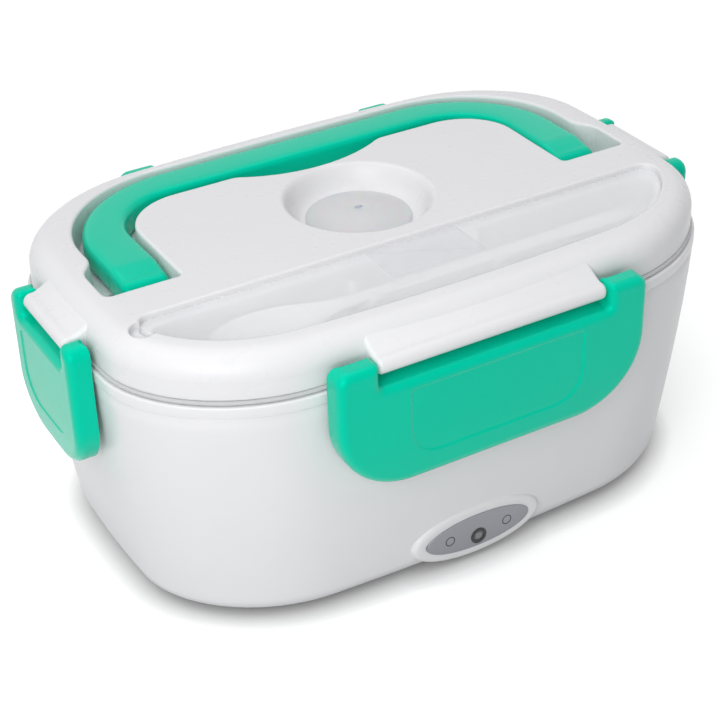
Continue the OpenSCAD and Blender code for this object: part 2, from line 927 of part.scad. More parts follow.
module spoon_cover() {
    color("lightcyan", 0.5)
        slab(ledge_z, cover_top) well_shape(gap);
}

// Cross-section of the spoon at x: half width w, hollowed by dip, lower edge raised to z
function spoon_ring(x, w, dip) =
    let(n = 6, t = 1.4)
    concat(
        [for (i = [0 : n]) let(u = 2 * i / n - 1) [x, w * u, -dip * (1 - u * u)]],
        [for (i = [n : -1 : 0]) let(u = 2 * i / n - 1) [x, w * u * 0.94, t - dip * (1 - u * u)]]
    );

module spoon() {
    tip = -spoon_len / 2;
    half = spoon_w / 2;
    color("white")
        translate([0, clip_y, spoon_z])
            loft([
                spoon_ring(tip, half * 0.2, 0.6),
                spoon_ring(tip + 2, half * 0.5, 2),
                spoon_ring(tip + 7, half * 0.82, 3.8),
                spoon_ring(tip + 15, half, 5),
                spoon_ring(tip + 24, half * 0.98, 5.2),
                spoon_ring(tip + 33, half * 0.76, 3.8),
                spoon_ring(tip + 41, half * 0.42, 1.6),
                spoon_ring(tip + 48, half * 0.22, 0.3),
                spoon_ring(-20, 3, -0.4),
                spoon_ring(30, 3, -0.4),
                spoon_ring(spoon_len / 2 - 12, 4.4, -0.5),
                spoon_ring(spoon_len / 2 - 3, 4.2, -0.4),
                spoon_ring(spoon_len / 2, 2.4, -0.3)
            ]);
}

// ---------- carry handle ----------

// Section of the bar between its inner point a and its outer point b
function bar_ring(a, b) =
    let(
        r = 2.2,
        m = (a + b) / 2,
        h = norm(b - a) / 2,
        n = (b - a) / (2 * h),
        corners = [[h - r, grip_top - r, 0], [h - r, grip_z + r, 90], [r - h, grip_z + r, 180], [r - h, grip_top - r, 270]]
    )
    [for (c = corners) for (k = [0 : 2]) let(t = c[2] + 45 * k, u = c.x + r * sin(t))
        [m.x + n.x * u, m.y + n.y * u, c.y + r * cos(t)]];

// One half of the handle's sections, from its arm to the middle of its bar; side is 1 or -1
function half_bar(side) =
    let(
        in_c = [inner_half - inner_rx, inner_back - inner_ry],
        out_c = [grip_half - grip_rx, grip_back - grip_corner]
    )
    concat(
        [for (y = [nose_y, (nose_y + out_c.y) / 2])
            bar_ring([side * inner_half, y], [side * grip_half, y])],
        [for (i = [0 : arc_n + 2]) let(a = 90 * i / (arc_n + 2))
            bar_ring(
                [side * (in_c.x + inner_rx * cos(a)), in_c.y + inner_ry * sin(a)],
                [side * (out_c.x + grip_rx * cos(a)), out_c.y + grip_corner * sin(a)]
            )],
        [bar_ring([side * in_c.x / 2, inner_back], [side * out_c.x / 2, grip_back])]
    );

// Side view of the rounded end of an arm, drawn in by e
function knuckle(e) =
    concat(
        arc(pivot_y, pivot_z, barrel_r - e, 180, 340, 10),
        [
            [nose_y + 0.6, grip_z + e + 0.05],
            [nose_y + 0.6, grip_top - e - 0.05],
            [nose_y - 0.4, grip_top - e - 0.05],
            [1.5, grip_top - 0.5 - e],
            [-1, grip_top - 1.1 - e]
        ],
        arc(-2.2, grip_top - 5.7, 4.2 - e, 70, 180, 6)
    );

module carry_handle() {
    bevels = [[0, 1.6], [0.5, 0.6], [1.6, 0], [grip_w - 1.6, 0], [grip_w - 0.5, 0.6], [grip_w, 1.6]];
    left = half_bar(-1);
    color("mediumaquamarine")
        union() {
            loft(concat(half_bar(1), [bar_ring([0, inner_back], [0, grip_back])],
                [for (i = [len(left) - 1 : -1 : 0]) left[i]]));
            for (side = [0, 1])
                mirror([side, 0, 0])
                    loft([for (b = bevels) [for (q = knuckle(b[1])) [inner_half + b[0], q.x, q.y]]]);
            at_pivots() rod_x(pivot_r, plateau_half - 3.4, inner_half + 1);
        }
}

// ---------- latches ----------

// Front view of a latch, drawn in by e
module latch_face(half, notch, r, drop, e) {
    ear_r = 2.8;
    notch_z = -5.8;
    polygon(concat(
        [[notch + e, notch_z - e], [notch + e, head_top - e]],
        arc(half - ear_r, head_top - ear_r, ear_r - e, 90, 0, 4),
        arc(half - r, r - drop, r - e, 0, -90, 10),
        arc(r - half, r - drop, r - e, -90, -180, 10),
        arc(ear_r - half, head_top - ear_r, ear_r - e, 180, 90, 4),
        [[-notch - e, head_top - e], [-notch - e, notch_z - e]]
    ));
}

// Side view of a latch
module latch_profile(drop) {
    toe = 2.4;
    heel = 1.4;
    polygon(concat(
        arc(head_back - heel, head_top - heel, heel, 0, 90, 4),
        arc(head_top - head_r, 0, head_top, 90, 180, 6),
        arc(toe - head_r, toe - drop, toe, 180, 270, 4),
        [[side_back, -drop], [side_back, -7]]
    ));
}

module latch_plan(half) {
    side_r = 2.6;
    polygon(concat(
        arc(side_r - half, side_r - head_r, side_r, 180, 270, 4),
        arc(half - side_r, side_r - head_r, side_r, 270, 360, 4),
        [[half, 10], [-half, 10]]
    ));
}

module latch_hook(half) {
    top = shell_top - catch_t - gap - hinge_z;
    tip = tab_out - catch_out - hook_clear;
    run_x(half)
        polygon([
            [latch_wall - head_r - 0.4, top - 3.4],
            [tip - 1, top - 2.4],
            [tip, top - 1.4],
            [tip, top],
            [latch_wall - head_r - 0.4, top]
        ]);
}

module latch(half, tab, r, drop, panel, rib) {
    notch = tab + 0.5;
    union() {
        difference() {
            intersection() {
                run_y(-head_r - 1, head_r + 1) latch_face(half, notch, r, drop, 0);
                run_x(half + 1) latch_profile(drop);
                slab(-drop - 1, head_r + 1) latch_plan(half);
            }
            run_y(latch_wall - head_r, head_r + 2) latch_face(half, notch, r, drop, latch_wall);
            // Room for the rim behind the lip
            translate([-notch, 1.2, -9]) cube([2 * notch, 8, 6]);
            // Room for the catch rib, which passes here when the lid is lifted
            translate([-rib - 2 * gap, 0.9, -drop - 1]) cube([2 * (rib + 2 * gap), 8, 20]);
            // Shallow panel in the face
            translate([0, 0, -22])
                run_y(-head_r - 1, 0.5 - head_r)
                    rounded(panel, 12.5, 10);
        }
        latch_hook(tab - 14);
        rod_x(rod_r, -notch - 1, notch + 1);
    }
}

module long_latch_piece() {
    color("mediumaquamarine") latch(long_latch, long_tab, long_latch_r, long_drop, long_latch - 25, long_rib);
}

module short_latch_piece() {
    color("mediumaquamarine") latch(short_latch, short_tab, short_latch_r, short_drop, short_latch - 7, short_rib);
}

module front_latch() { at_front() long_latch_piece(); }
module back_latch() { at_back() long_latch_piece(); }
module left_latch() { at_left() short_latch_piece(); }
module right_latch() { at_right() short_latch_piece(); }

outer_shell();
inner_liner();
bottom_cover();
cover_screws();
rubber_feet();
heating_plate();
ptc_heater();
heater_bracket();
bracket_screws();
thermostat();
thermal_fuse();
indicator_plate();
led_bezel();
led_lamp();
led_board();
power_inlet();
inlet_pins();
wiring();
food_tray();
side_cup();
side_cup_lid();
lid_cover();
lid_lining();
lid_gasket();
vent_plug();
spoon_cover();
spoon();
carry_handle();
front_latch();
back_latch();
left_latch();
right_latch();
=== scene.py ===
"""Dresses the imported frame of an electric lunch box.

Moulded shells, lid, seal, handle and latches with rounded edges, and all finishes.
"""

import math

import bmesh
import bpy
import numpy as np
from mathutils import Matrix, Vector
from mathutils.geometry import delaunay_2d_cdt


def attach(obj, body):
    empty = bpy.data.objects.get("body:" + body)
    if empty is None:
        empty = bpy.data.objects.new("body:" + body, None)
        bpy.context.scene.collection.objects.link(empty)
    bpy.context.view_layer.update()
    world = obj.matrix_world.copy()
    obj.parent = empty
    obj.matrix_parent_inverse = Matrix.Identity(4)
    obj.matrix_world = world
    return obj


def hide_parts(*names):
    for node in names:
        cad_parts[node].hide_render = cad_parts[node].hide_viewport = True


bl_info = {
    "name": "Lunch Box Dresser",
    "version": (1, 0, 0),
    "blender": (4, 5, 0),
    "location": "View3D > Sidebar > Lunch Box",
    "description": "Builds the looks of an electric lunch box around its packed frame",
    "category": "Object",
}

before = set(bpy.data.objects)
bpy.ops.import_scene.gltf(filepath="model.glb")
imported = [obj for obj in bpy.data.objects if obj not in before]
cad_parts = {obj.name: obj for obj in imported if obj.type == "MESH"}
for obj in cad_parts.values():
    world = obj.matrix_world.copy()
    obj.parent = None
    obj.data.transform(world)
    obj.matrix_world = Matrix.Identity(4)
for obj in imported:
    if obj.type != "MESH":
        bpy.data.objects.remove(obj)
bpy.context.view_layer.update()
MM = 0.001

# ---------------------------------------------------------------------------
# Sizes of the moulded forms, in millimetres, as in the part's source
# ---------------------------------------------------------------------------

LID_LEN, LID_DEP, LID_CORNER = 223.2, 145.2, 42.8
CORNER_STRETCH, END_BOW, SIDE_BOW = 4.0, 5.0, 5.4
LID_EDGE, CROWN = 8.4, 0.3
FOOT, SHELL_TOP, BAND_TOP = 1.8, 86.0, 90.0
SKIRT, LID_TOP = 91.6, 107.0
SHELL_H, SHELL_EDGE = 84.2, 8.0
SHELL_OUT, RIM_OUT, TAPER_X, TAPER_Y = 1.0, 1.6, 6.9, 4.2
LINER_IN, LINER_FLOOR = 7.6, 18.0
HINGE_Z, TAB_OUT = 97.0, 4.8
GRIP_HALF, GRIP_BACK, GRIP_RX, GRIP_RY = 92.9, 61.3, 44.0, 40.0
INNER_HALF, INNER_BACK, INNER_RX, INNER_RY = 76.5, 46.8, 24.0, 22.0
GRIP_TOP, GRIP_LOW, NOSE_Y, BARREL_R = 106.4, 96.4, 6.4, 5.8
PIVOT_Y, PIVOT_Z = -0.6, 98.0
CHANNEL_HALF, CHANNEL_BACK, CHANNEL_RX, CHANNEL_RY = 96.1, 62.6, 47.0, 41.4
PLATEAU_HALF, PLATEAU_BACK, PLATEAU_RX, PLATEAU_RY = 74.8, 41.6, 22.0, 20.0
POCKET_FRONT, POCKET_SIDE, POCKET_BACK, POCKET_OUT = -11.0, 6.5, 13.0, 101.2
NOTCH_HALF, NOTCH_DEPTH = 29.0, 8.2
BOWL_Y, BOWL_DEPTH = 5.3, 8.4
WELL_BACK, WELL_IN, LEDGE_W = 27.5, 10.5, 2.4
LEDGE_Z, WELL_FLOOR, COVER_TOP = 103.4, 93.0, 105.4
CHANNEL_FLOOR, POCKET_FLOOR = 96.0, 91.8
PULL_X, PULL_Y, PULL_R = -98.7, -34.5, 4.6
PLATE_HALF_X, PLATE_HALF_Z, PLATE_Z = 20.6, 6.6, FOOT + 10.9
INLET_Z = FOOT + 11.6
RIB_DROP, RIB_OUT = 2.6, 3.4
TRAY_FLOOR, TRAY_TOP = 19.5, 83.5
CUP_X, CUP_FLOOR, CUP_TOP = 58.0, 21.4, 67.4
SPOON_Y, SPOON_LOW, SPOON_HIGH = -43.0, 98.4, 99.7

# Each side's name, turn about Z, reach of the lid, and half widths of its tab and of its ledge
SIDES = (
    ("front", 0, LID_DEP / 2, 42.7, 30),
    ("back", 180, LID_DEP / 2, 42.7, 30),
    ("left", -90, LID_LEN / 2, 17.2, 11),
    ("right", 90, LID_LEN / 2, 17.2, 11),
)


# ---------------------------------------------------------------------------
# Flat outlines
# ---------------------------------------------------------------------------


def outline(hx, hy, r, arc_n=20, side_n=8):
    """The box's bowed outline with its full half sizes, counter-clockwise."""
    bx, by = hx - END_BOW, hy - SIDE_BOW
    rx, ry = r + CORNER_STRETCH, r - CORNER_STRETCH
    q = [(bx, (by - ry) * i / side_n) for i in range(side_n)]
    for i in range(arc_n + 1):
        a = math.pi / 2 * i / arc_n
        q.append((bx - rx + rx * math.cos(a), by - ry + ry * math.sin(a)))
    q += [((bx - rx) * (1 - i / side_n), by) for i in range(1, side_n + 1)]
    bowed = [
        (
            x + END_BOW * (1 - min(1, abs(y) / by) ** 2),
            y + SIDE_BOW * (1 - min(1, abs(x) / bx) ** 2),
        )
        for x, y in q
    ]
    n = len(bowed) - 1
    return (
        bowed
        + [(-x, y) for x, y in bowed[n - 1 :: -1]]
        + [(-x, -y) for x, y in bowed[1:]]
        + [(x, -y) for x, y in bowed[n - 1 : 0 : -1]]
    )


def lid_outline(inset):
    return outline(LID_LEN / 2 - inset, LID_DEP / 2 - inset, LID_CORNER - inset)


def base_outline(inset, z):
    f = min(1, max(0, (SHELL_TOP - z) / (SHELL_H - SHELL_EDGE))) ** 1.4
    return outline(
        LID_LEN / 2 + SHELL_OUT - TAPER_X * f - inset,
        LID_DEP / 2 + SHELL_OUT - TAPER_Y * f - inset,
        LID_CORNER - inset,
    )


def liner_outline(inset, z):
    f = (BAND_TOP - z) / (BAND_TOP - LINER_FLOOR)
    k = LINER_IN + 5 * f + inset
    return outline(LID_LEN / 2 - k, LID_DEP / 2 - k, LID_CORNER - k)


def at_z(path, z):
    return [(x, y, z) for x, y in path]


def at_y(path, y):
    return [(x, y, z) for x, z in path]


def halved(path):
    return [(x / 2, y / 2) for x, y in path]


def oval(rx, ry, n, cx=0.0, cy=0.0):
    """An ellipse of n points, counter-clockwise."""
    turns = [2 * math.pi * i / n for i in range(n)]
    return [(cx + rx * math.cos(t), cy + ry * math.sin(t)) for t in turns]


def turner(degrees):
    """Turns a point about Z."""
    c, s = math.cos(math.radians(degrees)), math.sin(math.radians(degrees))
    return lambda x, y, z: (x * c - y * s, x * s + y * c, z)


def quarter_round(n=8):
    """Angles of a quarter turn, in radians."""
    return [math.pi / 2 * i / n for i in range(n + 1)]


def bend(p, corner, q, n, pull):
    """The curve from p to q that leans towards the corner."""
    p1, q1 = p + (corner - p) * pull, q + (corner - q) * pull
    out = []
    for j in range(n + 1):
        u = j / n
        v = 1 - u
        out.append(v**3 * p + 3 * v * v * u * p1 + 3 * v * u * u * q1 + u**3 * q)
    return out


def offset(path, d):
    """A closed counter-clockwise path moved outwards by d."""
    p = np.array(path, float)
    a = p - np.roll(p, 1, 0)
    b = np.roll(p, -1, 0) - p
    a /= np.linalg.norm(a, axis=1)[:, None]
    b /= np.linalg.norm(b, axis=1)[:, None]
    na = np.stack([a[:, 1], -a[:, 0]], 1)
    nb = np.stack([b[:, 1], -b[:, 0]], 1)
    m = (na + nb) / (1 + (na * nb).sum(1))[:, None].clip(0.3)
    return [tuple(v) for v in p + m * d]


def soften(points, step=5.0, bend_n=7):
    """A closed path from (x, y, cut) corners.

    Each corner is rounded over its cut, and long sides are divided.
    """
    n = len(points)
    out = []
    for i in range(n):
        x, y, cut = points[i]
        p = np.array((x, y))
        prev = np.array(points[i - 1][:2])
        nxt = np.array(points[(i + 1) % n][:2])
        u = (prev - p) / np.linalg.norm(prev - p)
        v = (nxt - p) / np.linalg.norm(nxt - p)
        if cut > 0:
            m = max(4, int(bend_n * (1 if cut < 12 else 2.4)))
            out += bend(p + u * cut, p, p + v * cut, m, 0.5523)
        else:
            out.append(p)
    divided = []
    for i, p in enumerate(out):
        q = out[(i + 1) % len(out)]
        d = np.linalg.norm(q - p)
        if d < 1e-6:
            continue
        k = max(1, int(round(d / step)))
        divided += [tuple(p + (q - p) * j / k) for j in range(k)]
    return divided


def inside(path, pts):
    """Distance of each point from a closed path, positive inside it."""
    a = np.array(path, float)
    b = np.roll(a, -1, 0)
    d = b - a
    length = (d**2).sum(1)
    pts = np.asarray(pts, float)
    out = np.empty(len(pts))
    for s in range(0, len(pts), 1500):
        p = pts[s : s + 1500, None, :]
        t = (((p - a) * d).sum(2) / length).clip(0, 1)
        near = a + d * t[..., None]
        dist = np.sqrt(((p - near) ** 2).sum(2)).min(1)
        cross = (a[:, 1] > p[..., 1]) != (b[:, 1] > p[..., 1])
        with np.errstate(divide="ignore", invalid="ignore"):
            at = a[:, 0] + (p[..., 1] - a[:, 1]) / (b[:, 1] - a[:, 1]) * d[:, 0]
        odd = (cross & (p[..., 0] < at)).sum(1) % 2 == 1
        out[s : s + 1500] = np.where(odd, dist, -dist)
    return out


# ---------------------------------------------------------------------------
# Mesh building
# ---------------------------------------------------------------------------


class Form:
    """Gathers the surfaces of one piece."""

    def __init__(self):
        self.verts, self.faces = [], []

    def add(self, verts, faces):
        n = len(self.verts)
        self.verts += [tuple(v) for v in verts]
        self.faces += [tuple(i + n for i in f) for f in faces]

    def loft(self, rings, start=True, end=True):
        """Joins closed rings in order, and closes the first and the last one."""
        n = len(rings[0])
        faces = []
        for k in range(len(rings) - 1):
            for i in range(n):
                j = (i + 1) % n
                faces.append((k * n + i, k * n + j, (k + 1) * n + j, (k + 1) * n + i))
        if start:
            faces.append(tuple(range(n - 1, -1, -1)))
        if end:
            faces.append(tuple((len(rings) - 1) * n + i for i in range(n)))
        self.add([p for r in rings for p in r], faces)

    def loop(self, rings):
        """Joins closed rings in order, and the last one to the first."""
        self.loft(rings + rings[:1], start=False, end=False)

    def turned(self, profile, centre=(0, 0, 0), n=72):
        """Revolves (radius, height) points about +Z."""
        cx, cy, cz = centre
        rings = [(oval(max(r, 0.001), max(r, 0.001), n, cx, cy), z) for r, z in profile]
        self.loft([at_z(ring, cz + z) for ring, z in rings])

    def relief(self, rings, height, extra=(), place=None):
        """Fills the plan inside rings[0] with triangles that follow every ring and extra line."""
        pts, edges = [], []
        for ring in rings:
            n = len(pts)
            pts += [tuple(p[:2]) for p in ring]
            edges += [(n + i, n + (i + 1) % len(ring)) for i in range(len(ring))]
        for line in extra:
            n = len(pts)
            pts += [tuple(p) for p in line]
            edges += [(n + i, n + i + 1) for i in range(len(line) - 1)]
        v, _, f, _, _, _ = delaunay_2d_cdt(pts, edges, [], 0, 1e-5)
        v = np.array([tuple(p) for p in v])
        f = np.array([tuple(t) for t in f])
        f = f[inside(rings[0], v[f].mean(1)) > 0]
        p = [(x, y, h) for (x, y), h in zip(v, height(v))]
        if place:
            p = [place(q) for q in p]
        used = sorted(set(f.ravel()))
        index = {a: i for i, a in enumerate(used)}
        self.add([p[a] for a in used], [tuple(index[a] for a in t) for t in f])

    def piece(
        self, name, material, body, nodes=(), slot=None, sharp=38, recalc=True, carve=None
    ):
        """Makes the mesh, gives it its finish and puts it in the place of its solids."""
        me = bpy.data.meshes.new(name)
        me.from_pydata([(x * MM, y * MM, z * MM) for x, y, z in self.verts], [], self.faces)
        bm = bmesh.new()
        bm.from_mesh(me)
        bmesh.ops.remove_doubles(bm, verts=bm.verts, dist=2e-6)
        bmesh.ops.dissolve_degenerate(bm, edges=bm.edges, dist=1e-6)
        if recalc:
            bmesh.ops.recalc_face_normals(bm, faces=bm.faces)
        if carve:
            carve(bm)
        bm.to_mesh(me)
        bm.free()
        me.shade_smooth()
        me.set_sharp_from_angle(angle=math.radians(sharp))
        ob = bpy.data.objects.new(name, me)
        bpy.context.scene.collection.objects.link(ob)
        me.materials.append(material)
        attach(ob, body)
        if nodes:
            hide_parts(*nodes)
        return ob


def open_mouth(bm):
    """Open the shell's back behind the flange of the power inlet, whose moulding fills it."""
    half_x, half_z = 10.4, 5.6

    def back_faces(x, z):
        found = []
        for f in bm.faces:
            c = f.calc_center_median() / MM
            if c.y > 60 and abs(c.x) < x and abs(c.z - INLET_Z) < z:
                found.append(f)
        return found

    cuts = [((1, 0, 0), -half_x), ((1, 0, 0), half_x)]
    cuts += [((0, 0, 1), INLET_Z - half_z), ((0, 0, 1), INLET_Z + half_z)]
    for normal, at in cuts:
        faces = back_faces(40, 20)
        edges = {e for f in faces for e in f.edges}
        verts = {v for f in faces for v in f.verts}
        geom = [*verts, *edges, *faces]
        co = Vector(normal) * at * MM
        bmesh.ops.bisect_plane(bm, geom=geom, dist=1e-7, plane_co=co, plane_no=normal)
    bmesh.ops.delete(bm, geom=back_faces(half_x, half_z), context="FACES")


def sink(z, s, floor, rt, rb, draft):
    """Lowers the surface z to floor where s, the distance inside a recess, is positive.

    The upper edge is rounded by rt and the foot by rb.
    """
    s = np.asarray(s, float)
    top = np.where(
        s < 0,
        z - rt + np.sqrt(np.clip(rt**2 - np.clip(s + rt, 0, rt) ** 2, 0, None)),
        z - rt,
    )
    t = np.clip(s / draft, 0, 1)
    wall = (z - rt) * (1 - t) + (floor + rb) * t
    q = np.clip(s - draft, 0, rb)
    foot = floor + rb - np.sqrt(np.clip(rb**2 - (rb - q) ** 2, 0, None))
    out = np.where(s <= -rt, z, np.where(s < 0, top, np.where(s < draft, wall, foot)))
    return np.minimum(out, z)


def recess_rings(path, rt, rb, draft):
    """The rings that a recess of the same measures needs in its relief."""
    steps = (-rt - 0.6, -rt, -0.75 * rt, -0.45 * rt, -0.2 * rt, -0.05 * rt, 0)
    steps += (draft, draft + 0.08 * rb, draft + 0.3 * rb, draft + 0.6 * rb, draft + rb)
    return [offset(path, -s) for s in steps]


# ---------------------------------------------------------------------------
# Finishes
# ---------------------------------------------------------------------------


def finish_of(name, colour, rough, tint, grain, wave, sockets):
    """A finish with a faint cloudy colour, uneven gloss and a fine surface grain."""
    mat = bpy.data.materials.new(name)
    mat.use_nodes = True
    nodes, links = mat.node_tree.nodes, mat.node_tree.links
    shader = nodes["Principled BSDF"]
    where = nodes.new("ShaderNodeTexCoord")

    def noise(scale, detail):
        n = nodes.new("ShaderNodeTexNoise")
        n.inputs["Scale"].default_value = scale
        n.inputs["Detail"].default_value = detail
        links.new(where.outputs["Object"], n.inputs["Vector"])
        return n

    cloud = noise(28, 3)
    ramp = nodes.new("ShaderNodeValToRGB")
    dark, light = ramp.color_ramp.elements
    dark.position, light.position = 0.3, 0.7
    dark.color = [c * (1 - tint) for c in colour] + [1]
    light.color = [min(1, c * (1 + tint * 0.5)) for c in colour] + [1]
    links.new(cloud.outputs["Fac"], ramp.inputs["Fac"])
    links.new(ramp.outputs["Color"], shader.inputs["Base Color"])
    wear = noise(140, 4)
    gloss = nodes.new("ShaderNodeMapRange")
    gloss.inputs["To Min"].default_value = rough * 0.86
    gloss.inputs["To Max"].default_value = min(1, rough * 1.16)
    links.new(wear.outputs["Fac"], gloss.inputs["Value"])
    links.new(gloss.outputs["Result"], shader.inputs["Roughness"])
    fine = noise(2600, 2)
    bump = nodes.new("ShaderNodeBump")
    bump.inputs["Strength"].default_value = grain
    bump.inputs["Distance"].default_value = 0.0002
    links.new(fine.outputs["Fac"], bump.inputs["Height"])
    if wave:
        slow = noise(45, 1)
        sag = nodes.new("ShaderNodeBump")
        sag.inputs["Strength"].default_value = wave
        sag.inputs["Distance"].default_value = 0.0006
        links.new(slow.outputs["Fac"], sag.inputs["Height"])
        links.new(sag.outputs["Normal"], bump.inputs["Normal"])
    links.new(bump.outputs["Normal"], shader.inputs["Normal"])
    for key, value in sockets.items():
        shader.inputs[key].default_value = value
    return mat


SOFT_GLOSS = {"Specular IOR Level": 0.24}
MINT_GLOSS = {"Specular IOR Level": 0.5, "Specular Tint": (0.02, 0.9, 0.62, 1)}
MILKY = {"Subsurface Weight": 0.5, "Subsurface Scale": 0.003, "Transmission Weight": 0.25}
METAL = {"Metallic": 1.0}

# Colour, or a user colour and its share, then roughness, tint, grain, wave and other sockets
FINISHES = {
    "shell_white": (("white", 1), 0.3, 0.012, 0.03, 0.05, SOFT_GLOSS),
    "lid_white": (("white", 1), 0.28, 0.01, 0.012, 0.04, SOFT_GLOSS),
    "liner_white": (("white", 1), 0.3, 0.012, 0.04, 0.04, {}),
    "tray_white": (("white", 0.98), 0.42, 0.015, 0.1, 0.05, {}),
    "mint_gloss": (("mint", 1), 0.22, 0.02, 0.015, 0.04, MINT_GLOSS),
    "seal_grey": (("seal", 1), 0.6, 0.05, 0.25, 0.1, {}),
    "vent_milk": (("vent", 1), 0.36, 0.04, 0.12, 0.1, MILKY),
    "label_grey": (("label", 1), 0.4, 0.06, 0.3, 0.0, {"Metallic": 0.35}),
    "cover_clear": ((0.8, 0.805, 0.82), 0.14, 0.01, 0.02, 0.12, {"Alpha": 0.46}),
    "cover_frosted": ((0.66, 0.66, 0.69), 0.35, 0.01, 0.1, 0.0, {"Alpha": 0.3}),
    "spoon_white": ((0.8, 0.8, 0.79), 0.28, 0.01, 0.05, 0.0, {}),
    "slit_shade": ((0.42, 0.44, 0.52), 0.5, 0.1, 0.05, 0.0, {}),
    "mark_dark": ((0.05, 0.05, 0.055), 0.5, 0.1, 0.05, 0.0, {}),
    "bezel_black": ((0.018, 0.018, 0.02), 0.32, 0.1, 0.05, 0.0, {}),
    "lens_smoke": ((0.34, 0.34, 0.35), 0.18, 0.1, 0.02, 0.0, {"Transmission Weight": 0.5}),
    "inlet_black": ((0.02, 0.02, 0.022), 0.5, 0.15, 0.4, 0.0, {}),
    "heat_alloy": ((0.62, 0.63, 0.64), 0.3, 0.06, 0.35, 0.05, METAL),
    "plated_steel": ((0.55, 0.55, 0.56), 0.32, 0.08, 0.25, 0.0, METAL),
    "pin_brass": ((0.72, 0.52, 0.2), 0.26, 0.08, 0.15, 0.0, METAL),
    "heater_film": ((0.45, 0.3, 0.13), 0.45, 0.12, 0.3, 0.0, {}),
    "fuse_glaze": ((0.6, 0.53, 0.38), 0.35, 0.1, 0.2, 0.0, {}),
    "board_green": ((0.02, 0.16, 0.06), 0.38, 0.15, 0.3, 0.0, {}),
    "wire_red": ((0.32, 0.02, 0.015), 0.42, 0.08, 0.3, 0.0, {}),
    "foot_rubber": ((0.11, 0.11, 0.115), 0.85, 0.15, 0.7, 0.0, {}),
}

made_finishes = {}


def finish(name):
    """Each finish is made once and shared."""
    if name not in made_finishes:
        colour, *rest = FINISHES[name]
        if isinstance(colour[0], str):
            key, share = colour
            tone = getattr(bpy.context.scene.lunch_box_colours, key)
            colour = [c * share for c in tone]
        made_finishes[name] = finish_of(name, colour, *rest)
    return made_finishes[name]


# ---------------------------------------------------------------------------
# Sizes and colours that a user may change
# ---------------------------------------------------------------------------


class LunchBoxSizes(bpy.types.PropertyGroup):
    """Edge roundings and small reliefs of the moulded pieces"""

    recess_edge: bpy.props.FloatProperty(
        name="Recess edge",
        description="Rounding along the handle channel's upper edge",
        default=0.0011,
        min=0.0004,
        max=0.0016,
        unit="LENGTH",
    )
    latch_edge: bpy.props.FloatProperty(
        name="Latch edge",
        description="Rounding around the face of each latch",
        default=0.0028,
        min=0.001,
        max=0.003,
        unit="LENGTH",
    )
    grip_edge: bpy.props.FloatProperty(
        name="Grip edge",
        description="Rounding along the edges of the carry handle",
        default=0.0023,
        min=0.001,
        max=0.003,
        unit="LENGTH",
    )
    panel_step: bpy.props.FloatProperty(
        name="Panel step",
        description="Depth of the shallow panel in each latch's face",
        default=0.00035,
        min=0.0,
        max=0.0008,
        unit="LENGTH",
    )
    tab_edge: bpy.props.FloatProperty(
        name="Tab end",
        description="Rounding at the ends of the lid's hinge tabs",
        default=0.0016,
        min=0.0005,
        max=0.0025,
        unit="LENGTH",
    )


class LunchBoxColours(bpy.types.PropertyGroup):
    """Colours of the plastics"""

    white: bpy.props.FloatVectorProperty(
        name="White plastic",
        description="Colour of the shell, the lid and the containers",
        subtype="COLOR",
        size=3,
        min=0,
        max=1,
        default=(0.79, 0.79, 0.81),
    )
    mint: bpy.props.FloatVectorProperty(
        name="Mint plastic",
        description="Colour of the latches and the handle",
        subtype="COLOR",
        size=3,
        min=0,
        max=1,
        default=(0.0, 0.57, 0.37),
    )
    seal: bpy.props.FloatVectorProperty(
        name="Seal",
        description="Colour of the silicone seal",
        subtype="COLOR",
        size=3,
        min=0,
        max=1,
        default=(0.56, 0.57, 0.58),
    )
    vent: bpy.props.FloatVectorProperty(
        name="Vent plug",
        description="Colour of the milky vent plug",
        subtype="COLOR",
        size=3,
        min=0,
        max=1,
        default=(0.82, 0.825, 0.84),
    )
    label: bpy.props.FloatVectorProperty(
        name="Indicator plate",
        description="Colour of the plate around the lamp",
        subtype="COLOR",
        size=3,
        min=0,
        max=1,
        default=(0.3, 0.3, 0.33),
    )


# ---------------------------------------------------------------------------
# Base
# ---------------------------------------------------------------------------


def boss_face():
    """The front face of the indicator's boss."""
    return -(LID_DEP / 2 + SHELL_OUT - TAPER_Y) - 1.6


def front_ovals(rx, rz, steps):
    """Upright ovals around the lamp's plate, one for each (inset, depth) step."""
    y0 = boss_face()
    return [at_y(oval(rx - e, rz - e, 96, 0, PLATE_Z), y0 + y) for e, y in steps]


